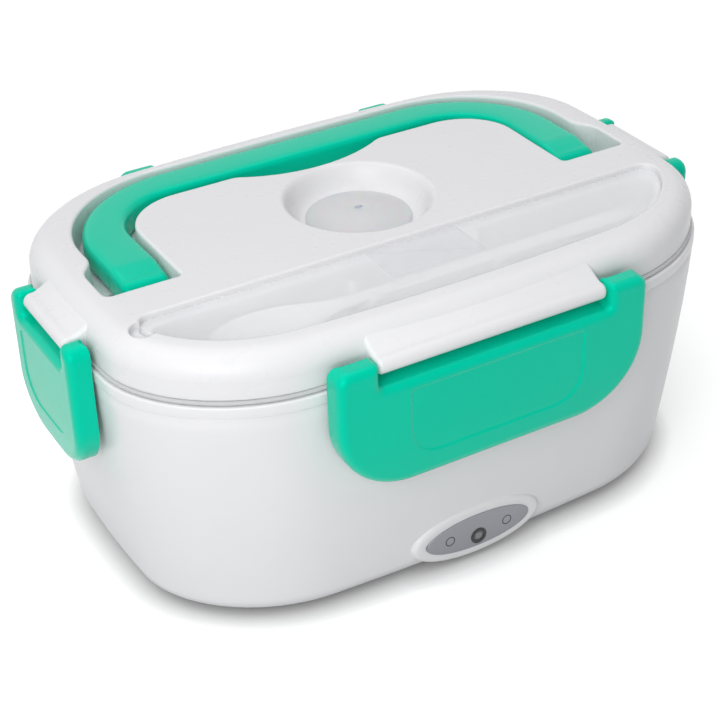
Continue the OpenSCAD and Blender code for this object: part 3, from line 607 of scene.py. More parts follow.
class LUNCHBOX_OT_shell(bpy.types.Operator):
    """Build the outer shell with its indicator boss and catch ribs"""

    bl_idname = "lunchbox.shell"
    bl_label = "Outer shell"

    def execute(self, context):
        form = Form()
        low = FOOT + SHELL_EDGE
        # The recess of the bottom cover, then the rounded lower edge
        foot = [(16, 3.6), (16, 1.6), (12.4, 1.6), (12, 1.3), (12, 0.2), (11.6, 0)]
        foot += [
            (SHELL_EDGE * (1 - math.sin(a)), SHELL_EDGE * (1 - math.cos(a)))
            for a in quarter_round(9)
        ]
        rings = [at_z(base_outline(inset, low), FOOT + up) for inset, up in foot]
        for k in range(1, 15):
            z = low + (SHELL_TOP - 0.5 - low) * k / 14
            rings.append(at_z(base_outline(0, z), z))
        rings.append(at_z(base_outline(0.35, SHELL_TOP), SHELL_TOP))
        rings.append(at_z(base_outline(2.2, SHELL_TOP), SHELL_TOP))
        for z in (60, 30, low + 2):
            rings.append(at_z(base_outline(2.2, z), z))
        rings.append(at_z(base_outline(SHELL_EDGE, low), FOOT + 3.6))
        form.loop(rings)
        self.boss(form)
        self.ribs(form)
        form.piece(
            "outer_shell_moulding",
            finish("shell_white"),
            "base",
            ["outer_shell"],
            "white_shell",
            carve=open_mouth,
        )
        return {"FINISHED"}

    def boss(self, form):
        """The raised oval that carries the lamp's plate."""
        steps = (
            (-0.9, 6.5),
            (-0.7, 3.0),
            (-0.45, 1.6),
            (-0.1, 0.9),
            (0.35, 0.42),
            (0.9, 0.12),
            (1.6, 0),
            (4.2, 0),
            (4.5, 0.1),
            (4.62, 0.35),
            (6, 0.35),
        )
        form.loft(front_ovals(PLATE_HALF_X + 4.8, PLATE_HALF_Z + 3.4, steps))

    def ribs(self, form):
        """The ledge under the rim that each latch hook snaps beneath."""
        z = SHELL_TOP - RIB_DROP
        for _, turn, reach, _, half in SIDES:
            y, place = -reach, turner(turn)
            profile = [
                (y + 0.6, z),
                (y - 2.6, z),
                (y - 3.2, z + 0.25),
                (y - RIB_OUT, z + 0.8),
                (y - RIB_OUT, z + 2.0),
                (y - 3.2, z + 2.4),
                (y - 2.8, z + RIB_DROP),
                (y + 0.6, z + RIB_DROP),
            ]
            form.loft([[place(x, v, w) for v, w in profile] for x in (-half, half)])


class LUNCHBOX_OT_liner(bpy.types.Operator):
    """Build the inner liner, whose rim shows as the band over the shell"""

    bl_idname = "lunchbox.liner"
    bl_label = "Inner liner and rim"

    def execute(self, context):
        form = Form()
        low = LINER_FLOOR - 2
        rings = [at_z(halved(liner_outline(5, low)), low)]
        for a in quarter_round():
            z = low + 7 * (1 - math.cos(a))
            rings.append(at_z(liner_outline(7 * (1 - math.sin(a)) - 2, z), z))
        rings.append(at_z(liner_outline(-2, SHELL_TOP), SHELL_TOP))
        rings.append(at_z(lid_outline(0.35 - RIM_OUT), SHELL_TOP))
        # The band between the shell and the lid, with rounded edges
        for a in quarter_round(4):
            z = SHELL_TOP + 0.35 * (1 - math.cos(a))
            rings.append(at_z(lid_outline(0.35 * (1 - math.sin(a)) - RIM_OUT), z))
        for a in quarter_round(6):
            z = BAND_TOP - 0.6 + 0.6 * math.sin(a)
            rings.append(at_z(lid_outline(0.6 * (1 - math.cos(a)) - RIM_OUT), z))
        rings.append(at_z(lid_outline(LINER_IN - 0.8), BAND_TOP))
        for a in quarter_round(4):
            z = BAND_TOP - 0.8 * (1 - math.cos(a))
            rings.append(at_z(lid_outline(LINER_IN - 0.8 + 0.8 * math.sin(a)), z))
        for k in range(1, 8):
            z = BAND_TOP - 0.8 - (BAND_TOP - 0.8 - LINER_FLOOR - 7) * k / 8
            rings.append(at_z(liner_outline(0, z), z))
        for a in reversed(quarter_round()):
            z = LINER_FLOOR + 7 * (1 - math.cos(a))
            rings.append(at_z(liner_outline(7 * (1 - math.sin(a)), z), z))
        rings.append(at_z(halved(liner_outline(7, LINER_FLOOR)), LINER_FLOOR))
        form.loft(rings)
        form.piece(
            "inner_liner_moulding",
            finish("liner_white"),
            "base",
            ["inner_liner"],
            "white_liner",
        )
        return {"FINISHED"}


class LUNCHBOX_OT_indicator(bpy.types.Operator):
    """Build the oval indicator plate, its two plain marks, the lamp and its ring"""

    bl_idname = "lunchbox.indicator"
    bl_label = "Indicator"

    def execute(self, context):
        y0 = boss_face()
        plate = Form()
        steps = ((0, 0.3), (0, -0.3), (0.12, -0.44), (0.35, -0.5), (6, -0.52))
        plate.loft(front_ovals(PLATE_HALF_X, PLATE_HALF_Z, steps))
        plate.piece(
            "indicator_oval",
            finish("label_grey"),
            "base",
            ["indicator_plate"],
            "indicator_grey",
        )
        lamp = PLATE_Z - 2.3
        bezel = Form()
        self.ring(bezel, lamp, 3.1, 1.7, y0 - 0.8)
        bezel.piece(
            "lamp_ring", finish("bezel_black"), "base", ["led_bezel"], "black_plastic"
        )
        lens = Form()
        dome = ((1.65, 1), (1.65, -0.3), (1.5, -0.6), (1.1, -0.85), (0.5, -0.98), (0.1, -1.0))
        lens.loft([at_y(oval(r, r, 40, 0, lamp), y0 + y) for r, y in dome])
        lens.piece("lamp_lens", finish("lens_smoke"), "base", ["led_lamp"], "lamp_lens")
        marks = Form()
        for x in (-11.5, 11.5):
            self.ring(marks, PLATE_Z - 0.2, 1.9, 1.5, y0 - 0.56, x, 0.1)
        marks.piece("indicator_marks", finish("mark_dark"), "base", slot="black_plastic")
        return {"FINISHED"}

    def ring(self, form, z, outer, inner, y, x=0.0, deep=1.0):
        """A flat ring with rounded edges, whose front face is at y."""
        mid = (outer + inner) / 2
        steps = (
            (inner, deep),
            (inner, 0.1 * deep),
            (inner + 0.2 * (mid - inner), 0.03 * deep),
            (mid, 0),
            (outer - 0.2 * (outer - mid), 0.03 * deep),
            (outer, 0.1 * deep),
            (outer, deep),
        )
        form.loop([at_y(oval(r, r, 48, x, z), y + dy) for r, dy in steps])


# ---------------------------------------------------------------------------
# Food containers
# ---------------------------------------------------------------------------


def cup_ring(inset, z, n=14):
    """The side cup's outline, inset, at the height z."""
    hx, hy, r = 29 - inset, 46 - inset, 20 - min(inset, 12)
    out = []
    for q, (sx, sy) in enumerate(((1, 1), (-1, 1), (-1, -1), (1, -1))):
        for i in range(n + 1):
            a = math.pi / 2 * (q + i / n)
            x = CUP_X + sx * (hx - r) + r * math.cos(a)
            out.append((x, sy * (hy - r) + r * math.sin(a), z))
    return out


class LUNCHBOX_OT_containers(bpy.types.Operator):
    """Build the food tray, the side cup and the cup's lid"""

    bl_idname = "lunchbox.containers"
    bl_label = "Food containers"

    def execute(self, context):
        self.tray()
        self.cup()
        self.cup_lid()
        return {"FINISHED"}

    def tray(self):
        form = Form()
        z0, top = TRAY_FLOOR, TRAY_TOP
        wall, bottom, inner = 1.6, 8, TRAY_FLOOR + 1.6
        rings = [at_z(halved(liner_outline(8.8, z0)), z0)]
        for a in quarter_round():
            z = z0 + bottom * (1 - math.cos(a))
            rings.append(at_z(liner_outline(0.8 + bottom * (1 - math.sin(a)), z), z))
        for k in range(1, 7):
            z = z0 + bottom + (top - 0.4 - z0 - bottom) * k / 6
            rings.append(at_z(liner_outline(0.8, z), z))
        rings.append(at_z(liner_outline(1.2, top), top))
        rings.append(at_z(liner_outline(2.0, top), top))
        rings.append(at_z(liner_outline(0.8 + wall, top - 0.4), top - 0.4))
        for k in range(1, 6):
            z = top - 0.4 - (top - z0 - 10) * k / 6
            rings.append(at_z(liner_outline(0.8 + wall, z), z))
        for a in reversed(quarter_round()):
            z = inner + bottom * (1 - math.cos(a))
            inset = 0.8 + wall + bottom * (1 - math.sin(a))
            rings.append(at_z(liner_outline(inset, z), z))
        rings.append(at_z(halved(liner_outline(10.4, inner)), inner))
        form.loft(rings)
        form.piece(
            "food_tray_moulding", finish("tray_white"), "tray", ["food_tray"], "white_tray"
        )

    def cup(self):
        form = Form()
        steps = (
            (16, 0),
            (5, 0),
            (3.6, 0.4),
            (2.8, 1.3),
            (2.1, 5),
            (0.8, 42.9),
            (-0.3, 43),
            (-0.4, 43.2),
            (-0.4, 45.7),
            (-0.2, 46),
            (2.0, 46),
            (2.2, 45.6),
            (3.5, 6.4),
            (4.2, 2.8),
            (5.0, 1.8),
            (6.4, 1.4),
            (16, 1.4),
        )
        form.loft([cup_ring(inset, CUP_FLOOR + up) for inset, up in steps])
        form.piece("side_cup_moulding", finish("tray_white"), "cup", ["side_cup"], "white_tray")

    def cup_lid(self):
        form = Form()
        steps = (
            (16, 0.1),
            (-0.7, 0.1),
            (-0.7, -3.4),
            (-0.9, -3.6),
            (-1.7, -3.6),
            (-1.9, -3.4),
            (-1.9, 0.8),
            (-1.6, 1.4),
            (-0.9, 1.7),
            (3, 1.7),
            (3.6, 1.4),
            (4.4, 1.1),
            (16, 1.1),
        )
        form.loft([cup_ring(inset, CUP_TOP + up) for inset, up in steps])
        form.piece(
            "side_cup_lid_moulding",
            finish("mint_gloss"),
            "cup_lid",
            ["side_cup_lid"],
            "mint_plastic",
        )


# ---------------------------------------------------------------------------
# Lid
# ---------------------------------------------------------------------------


def corner_arc(half, back, rx, ry, n=16):
    """A rounded back corner, from the side round to the back."""
    return [
        (half - rx + rx * math.cos(a), back - ry + ry * math.sin(a), 0)
        for a in quarter_round(n)
    ]


def mirrored(corners):
    """The same corners on the other side, still counter-clockwise."""
    return [(-x, y, c) for x, y, c in reversed(corners)]


def channel_path():
    """The handle's channel with its pockets and the finger notch."""
    right = [
        (PLATEAU_HALF, POCKET_FRONT, 1.7),
        (POCKET_OUT, POCKET_FRONT, 2.6),
        (POCKET_OUT, POCKET_SIDE, 2.4),
        (CHANNEL_HALF, POCKET_BACK, 2.4),
    ] + corner_arc(CHANNEL_HALF, CHANNEL_BACK, CHANNEL_RX, CHANNEL_RY, 22)
    r = (NOTCH_HALF**2 + NOTCH_DEPTH**2) / (2 * NOTCH_DEPTH)
    notch = []
    for i in range(1, 14):
        x = NOTCH_HALF - 2 * NOTCH_HALF * i / 14
        notch.append((x, PLATEAU_BACK - NOTCH_DEPTH + r - math.sqrt(r * r - x * x), 0))
    side = corner_arc(PLATEAU_HALF, PLATEAU_BACK, PLATEAU_RX, PLATEAU_RY)
    inner = mirrored(side[::-1]) + [(-NOTCH_HALF, PLATEAU_BACK, 2.0)]
    inner += [(-x, y, c) for x, y, c in notch]
    inner += [(NOTCH_HALF, PLATEAU_BACK, 2.0)] + side[::-1]
    return soften(right + mirrored(right) + inner, step=3.2)


def barrel_path(side):
    """The deep pocket around one end of the handle."""
    x0, x1 = PLATEAU_HALF + 0.9, GRIP_HALF + 1.6
    y0, y1 = POCKET_FRONT + 0.8, PIVOT_Y + BARREL_R + 2.0
    corners = [(x0, y0, 1.2), (x1, y0, 1.2), (x1, y1, 1.2), (x0, y1, 1.2)]
    if side < 0:
        corners = mirrored(corners)
    return soften(corners, step=3.0, bend_n=4)


def well_path(inset):
    """The spoon well, with straight back and softened corners."""
    back = -WELL_BACK - inset
    ring = lid_outline(WELL_IN + inset)
    n = len(ring)
    start = max(range(n), key=lambda i: ring[i][1] < back and ring[i - 1][1] >= back)
    front = []
    for k in range(n):
        p = ring[(start + k) % n]
        if p[1] >= back:
            break
        front.append(p)
    a, b = ring[start - 1], front[0]
    t = (back - a[1]) / (b[1] - a[1])
    left = np.array((a[0] + (b[0] - a[0]) * t, back))
    right = left * (-1, 1)
    cut = 6.0
    front = [np.array(p) for p in front]
    front = [p for p in front if min(np.linalg.norm(p - left), np.linalg.norm(p - right)) > cut]
    towards = front[0] - left
    lp = left + towards / np.linalg.norm(towards) * cut
    rp = lp * (-1, 1)
    path = bend(left + (cut, 0), left, lp, 8, 0.55) + front
    path += bend(rp, right, right - (cut, 0), 8, 0.55)
    a, b, steps = path[-1], path[0], 26
    path += [a + (b - a) * j / steps for j in range(1, steps)]
    return [tuple(p) for p in path]


# Radius and depth below the lid's top
BOWL_RINGS = (
    (27.4, 0.0),
    (26.9, 0.0),
    (26.4, -0.12),
    (25.9, -0.5),
    (25.4, -1.1),
    (24.8, -2.2),
    (24.1, -3.6),
    (23.3, -5.1),
    (22.4, -6.4),
    (21.4, -7.4),
    (20.3, -8.1),
    (19.0, -8.4),
    (18.0, -8.4),
)


def lid_surface(e):
    """Height of the lid at depth e inside its outline."""
    e = np.clip(np.asarray(e, float), 0, None)
    c = 1 - np.clip(e, 0, LID_EDGE) / LID_EDGE
    z = LID_TOP - CROWN - LID_EDGE + LID_EDGE * np.sqrt(1 - c * c)
    t = np.clip((e - LID_EDGE) / 3.6, 0, 1)
    return z + CROWN * t * (2 - t)


class LUNCHBOX_OT_lid(bpy.types.Operator):
    """Build the lid with its channel, finger notch, vent bowl, spoon well and hinge tabs"""

    bl_idname = "lunchbox.lid"
    bl_label = "Lid"

    def execute(self, context):
        edge = context.scene.lunch_box_sizes.recess_edge / MM
        rim = lid_outline(0)
        channel = channel_path()
        barrels = [barrel_path(1), barrel_path(-1)]
        well, floor = well_path(0), well_path(LEDGE_W)
        pull = oval(PULL_R, PULL_R, 32, PULL_X, PULL_Y)
        rings = [rim]
        rings += [lid_outline(LID_EDGE * (1 - math.cos(a))) for a in quarter_round(10)[1:]]
        rings += [lid_outline(10.2), lid_outline(12.2)]
        rings += recess_rings(channel, edge, 1.2, 0.35)
        for b in barrels:
            rings += recess_rings(b, 0.3, 0.8, 0.3)
        rings += recess_rings(well, 0.8, 0.25, 0.2)
        rings += recess_rings(floor, 0.4, 1.6, 0.5)
        rings += recess_rings(pull, 0.5, 0.8, 0.2)
        rings += [oval(r, r, 96, 0, BOWL_Y) for r, _ in BOWL_RINGS]
        radii, drops = zip(*BOWL_RINGS[::-1])

        def height(p):
            z = lid_surface(inside(rim, p))
            z = sink(z, inside(pull, p), LEDGE_Z + 0.6, 0.5, 0.8, 0.2)
            z = sink(z, inside(well, p), LEDGE_Z, 0.8, 0.25, 0.2)
            z = sink(z, inside(floor, p), WELL_FLOOR, 0.4, 1.6, 0.5)
            z = sink(z, inside(channel, p), CHANNEL_FLOOR, edge, 1.2, 0.35)
            for b in barrels:
                z = sink(z, inside(b, p), POCKET_FLOOR, 0.3, 0.8, 0.3)
            r = np.hypot(p[:, 0], p[:, 1] - BOWL_Y)
            bowl = LID_TOP + np.interp(r, radii, drops)
            return np.minimum(z, np.where(r < radii[-1], bowl, z))

        form = Form()
        form.relief(rings, height)
        low = LID_TOP - CROWN - LID_EDGE
        skirt = [(13, SKIRT), (1.0, SKIRT), (0.5, SKIRT), (0.2, SKIRT + 0.15)]
        skirt += [(0.05, SKIRT + 0.4), (0, SKIRT + 0.8), (0, 95), (0, low)]
        form.loft([at_z(lid_outline(i), z) for i, z in skirt], start=False, end=False)
        form.piece(
            "lid_moulding", finish("lid_white"), "lid", ["lid_cover"], "white_lid", recalc=False
        )
        tabs = Form()
        for _, turn, reach, half, _ in SIDES:
            self.tab(tabs, half, turn, reach)
        tabs.piece("hinge_tabs", finish("lid_white"), "lid", slot="white_lid")
        self.clips()
        return {"FINISHED"}

    def tab(self, form, half, turn, reach):
        """A hinge tab: the lid's slope runs out over the latch's rod and curls under it."""
        r = bpy.context.scene.lunch_box_sizes.tab_edge / MM
        profile = [(9.2, 7.9), (7.0, 6.3), (4.9, 4.9), (2.9, 3.75), (1.2, 3.0)]
        profile += [
            (2.9 * math.cos(a), 2.9 * math.sin(a))
            for a in (math.radians(84 + (270 - 84) * i / 18) for i in range(19))
        ]
        profile += [(3.5, -2.9), (7.2, -2.9), (9.2, -2.0)]
        stations = [
            (-half + r * (1 - math.cos(a)), -r * (1 - math.sin(a))) for a in quarter_round(6)
        ]
        stations += [(-x, d) for x, d in reversed(stations)]
        place, y0 = turner(turn), -reach - TAB_OUT
        form.loft(
            [
                [place(x, y0 + v, HINGE_Z + w) for v, w in offset(profile, d)]
                for x, d in stations
            ]
        )

    def clips(self):
        """The posts and the half-round pads that hold the spoon's handle."""
        form = Form()
        post = [(2.0, 92.6), (1.7, 93.4), (1.4, 102.2), (1.1, 102.6), (0.5, 102.8)]
        for x0, y0 in ((-27.5, -37.9), (24, -31.5)):
            form.turned(post, (x0, y0, 0), 24)
        r, low = 3.6, 92.6
        arc = [math.pi * (1 - i / 14) for i in range(15)]
        pad = [(-r, low)] + [(r * math.cos(a), 97.5 + r * math.sin(a)) for a in arc] + [(r, low)]
        for x0 in (-24, 24):
            form.loft([[(x0 + x, y, z) for x, z in pad] for y in (-49.6, -47.2)])
        form.piece("spoon_clips", finish("lid_white"), "lid", slot="white_lid")


class LUNCHBOX_OT_seal(bpy.types.Operator):
    """Build the silicone seal under the lid"""

    bl_idname = "lunchbox.seal"
    bl_label = "Seal"

    def execute(self, context):
        form = Form()
        rings = [
            at_z(lid_outline(i), z)
            for i, z in (
                (8.1, 90.2),
                (0.2, 90.2),
                (-0.35, 90.3),
                (-0.6, 90.55),
                (-0.7, 90.9),
                (-0.6, 91.25),
                (-0.35, 91.5),
                (0, 91.58),
                (10, 91.58),
                (10, 88.6),
                (8.1, 88.6),
            )
        ]
        form.loop(rings)
        form.piece("lid_seal", finish("seal_grey"), "lid", ["lid_gasket"], "grey_silicone")
        return {"FINISHED"}


class LUNCHBOX_OT_vent(bpy.types.Operator):
    """Build the milky vent plug with its slit dome, the slit drawn as a dark sheet of painted shade
    """

    bl_idname = "lunchbox.vent"
    bl_label = "Vent plug"

    def execute(self, context):
        form = Form()
        edge_r, edge_z = 18.4, 0.8
        profile = [(0, -3.4), (3.4, -3.4), (3.8, -3.0), (3.8, 0.02)]
        profile += [(18.0, 0.02), (18.45, 0.15), (18.6, 0.45), (edge_r, edge_z)]
        # The dome, with a dimple in its middle
        for k in range(1, 22):
            r = edge_r * (1 - k / 21)
            z = edge_z + 3.9 * (1 - (r / edge_r) ** 2.1)
            profile.append((r, z - 0.75 * math.exp(-((r / 2.6) ** 2))))
        floor = LID_TOP - BOWL_DEPTH
        form.turned(profile, (0, BOWL_Y, floor), 96)
        form.piece("vent_dome", finish("vent_milk"), "vent", ["vent_plug"], "milky_silicone")
        # A thin dark oval sheet on the dome's dimple: painted shade standing for the slit's gap
        slit = Form()
        slit.loft(
            [
                at_z(oval(k * 2.6, k * 0.9, 24, 0, BOWL_Y), floor + h)
                for k, h in ((1, 3.6), (1, 4.12), (0.7, 4.16))
            ]
        )
        slit.piece("vent_slit", finish("slit_shade"), "vent", slot="milky_silicone")
        return {"FINISHED"}


class LUNCHBOX_OT_spoon_set(bpy.types.Operator):
    """Build the clear spoon cover and the spoon beneath it"""

    bl_idname = "lunchbox.spoon_set"
    bl_label = "Spoon and cover"

    def execute(self, context):
        form = Form()
        path = well_path(0.1)
        steps = (
            (0.5, LEDGE_Z + 0.05),
            (0.15, LEDGE_Z + 0.15),
            (0, LEDGE_Z + 0.4),
            (0, COVER_TOP - 0.7),
            (0.15, COVER_TOP - 0.3),
            (0.55, COVER_TOP - 0.05),
            (1.1, COVER_TOP),
        )
        form.loft([at_z(offset(path, -d), z) for d, z in steps])
        # Clear plastic lets the light through to the well
        cover = form.piece(
            "clear_cover", finish("cover_clear"), "cover", ["spoon_cover"], "clear_plastic"
        )
        cover.visible_shadow = False
        panel = Form()
        corners = [(17.6, -46.8, 0.5), (17.6, -28.9, 0.5)]
        path = soften(corners + mirrored(corners), step=6, bend_n=4)
        steps = ((0, -0.3), (0, 0.12), (0.12, 0.2), (0.6, 0.2))
        panel.loft([at_z(offset(path, -d), COVER_TOP + z) for d, z in steps])
        frosted = panel.piece(
            "cover_panel", finish("cover_frosted"), "cover", slot="clear_plastic"
        )
        frosted.visible_shadow = False
        self.spoon()
        return {"FINISHED"}

    def spoon(self):
        # Place along X, half width and depth of the hollow
        stations = (
            (-80, 1.6, 0.4),
            (-79.4, 3.6, 1.0),
            (-78, 5.8, 1.8),
            (-75, 8.2, 3.0),
            (-70, 10.4, 4.3),
            (-64, 11.4, 5.0),
            (-58, 11.3, 5.1),
            (-51, 9.6, 4.3),
            (-45, 6.8, 2.9),
            (-39, 4.2, 1.4),
            (-33, 2.9, 0.4),
            (-24, 2.8, -0.3),
            (-5, 3.0, -0.4),
            (30, 3.1, -0.4),
            (55, 3.8, -0.5),
            (68, 4.4, -0.5),
            (75, 4.2, -0.4),
            (78.5, 3.4, -0.35),
            (80, 2.2, -0.3),
        )
        across = [2 * i / 10 - 1 for i in range(11)]
        form = Form()
        rings = []
        for x, w, dip in stations:
            ring = [(x, SPOON_Y + w * u, SPOON_LOW - dip * (1 - u * u)) for u in across]
            ring += [
                (x, SPOON_Y + w * u * 0.96, SPOON_HIGH - dip * (1 - u * u))
                for u in across[::-1]
            ]
            rings.append(ring)
        form.loft(rings)
        ob = form.piece(
            "spoon_moulding",
            finish("spoon_white"),
            "spoon_body",
            ["spoon"],
            "spoon_white",
            sharp=60,
        )
        smooth = ob.modifiers.new("rounded", "SUBSURF")
        smooth.levels = smooth.render_levels = 1


# ---------------------------------------------------------------------------
# Carry handle
# ---------------------------------------------------------------------------


# How much rounder the handle's outer edge is than its inner one
OUTER_ROUND = 1.2


class LUNCHBOX_OT_handle(bpy.types.Operator):
    """Build the folding carry handle"""

    bl_idname = "lunchbox.handle"
    bl_label = "Carry handle"

    def execute(self, context):
        edge = context.scene.lunch_box_sizes.grip_edge / MM
        right = [
            ((INNER_HALF, y), (GRIP_HALF, y)) for y in (NOSE_Y, NOSE_Y + 2, NOSE_Y + 5, NOSE_Y + 9)
        ]
        inner = corner_arc(INNER_HALF, INNER_BACK, INNER_RX, INNER_RY, 30)
        outer = corner_arc(GRIP_HALF, GRIP_BACK, GRIP_RX, GRIP_RY, 30)
        right += [(a[:2], b[:2]) for a, b in zip(inner, outer)]
        a, b = right[-1]
        right += [((a[0] * (1 - k / 6), a[1]), (b[0] * (1 - k / 6), b[1])) for k in range(1, 7)]
        left = [((-a[0], a[1]), (-b[0], b[1])) for a, b in reversed(right[:-1])]
        form = Form()
        form.loft([self.section(a, b, edge) for a, b in right + left])
        for side in (-1, 1):
            self.knuckle(form, side, edge)
        form.piece("carry_grip", finish("mint_gloss"), "handle", ["carry_handle"], "mint_plastic")
        return {"FINISHED"}

    def section(self, a, b, r):
        """Section of the bar from its inner point a to its outer point b, softly crowned."""
        a, b = np.array(a), np.array(b)
        middle, h = (a + b) / 2, np.linalg.norm(b - a) / 2
        n = (b - a) / (2 * h)
        outer = r * OUTER_ROUND
        crown = 0.3 * min(1, max(0, (middle[1] - NOSE_Y) / 14))
        out = []
        for cu, cz, start, rr in (
            (h - outer, GRIP_LOW + outer, 270, outer),
            (h - outer, GRIP_TOP - outer, 0, outer),
            (r - h, GRIP_TOP - r, 90, r),
            (r - h, GRIP_LOW + r, 180, r),
        ):
            for k in range(7):
                t = math.radians(start + 15 * k)
                out.append((cu + rr * math.cos(t), cz + rr * math.sin(t)))
            if start == 0:
                out += [(h * f, GRIP_TOP) for f in (0.5, 0.2, -0.1, -0.4)]
        return [
            (
                middle[0] + n[0] * u,
                middle[1] + n[1] * u,
                z - (crown * (u / h) ** 2 if z > GRIP_TOP - 1.5 * r else 0),
            )
            for u, z in out
        ]

    def knuckle(self, form, side, r):
        """The rounded end of an arm, with its pivot pin."""

        def profile(e):
            out = []
            for k in range(33):
                t, rr = math.radians(180 + 164 * k / 32), BARREL_R - e
                out.append((PIVOT_Y + rr * math.cos(t), PIVOT_Z + rr * math.sin(t)))
            out += [(NOSE_Y + 0.3, GRIP_LOW + e), (NOSE_Y + 0.3, GRIP_TOP - e)]
            out.append((NOSE_Y - 0.5, GRIP_TOP - e))
            # The top falls slowly, then turns down over the nose
            y0, z0, y1, z1 = NOSE_Y - 0.5, GRIP_TOP, -2.0, GRIP_TOP - 1.35
            for k in range(1, 9):
                t = k / 8
                out.append((y0 + (y1 - y0) * t, z0 - (z0 - z1) * t**1.25 - e))
            cy, cz, nose = -2.2, GRIP_TOP - 5.6, 4.25
            for k in range(1, 15):
                t = math.radians(90 + 90 * k / 14)
                out.append((cy + (nose - e) * math.cos(t), cz + (nose - e) * math.sin(t)))
            return out

        d, arc = r * OUTER_ROUND, quarter_round(7)
        stations = [(INNER_HALF + r * (1 - math.cos(t)), r * (1 - math.sin(t))) for t in arc]
        stations += [
            (GRIP_HALF - d * (1 - math.cos(t)), d * (1 - math.sin(t))) for t in arc[::-1]
        ]
        form.loft([[(side * x, y, z) for y, z in profile(e)] for x, e in stations])
        end = PLATEAU_HALF - 3.4
        pin = [(0.01, end), (2.1, end), (2.5, end + 0.4), (2.5, INNER_HALF + 1)]
        form.loft(
            [
                [(side * x, y, z) for y, z in oval(rr, rr, 40, PIVOT_Y, PIVOT_Z)]
                for rr, x in pin
            ]
        )


# ---------------------------------------------------------------------------
# Latches
# ---------------------------------------------------------------------------

FACE_OUT, HEAD_TOP, HEAD_BACK, HEEL = 4.8, 2.8, 3.2, 1.4
LIP_Z, EAR_R, NOTCH_R = -5.8, 4.4, 1.8
WALL, SKIN = 2.3, 2.2
# Half width, corner radius, height below the hinge and half width of the panel
LONG_LATCH, SHORT_LATCH = (58, 27, 44.6, 33), (25, 18, 46.0, 18)


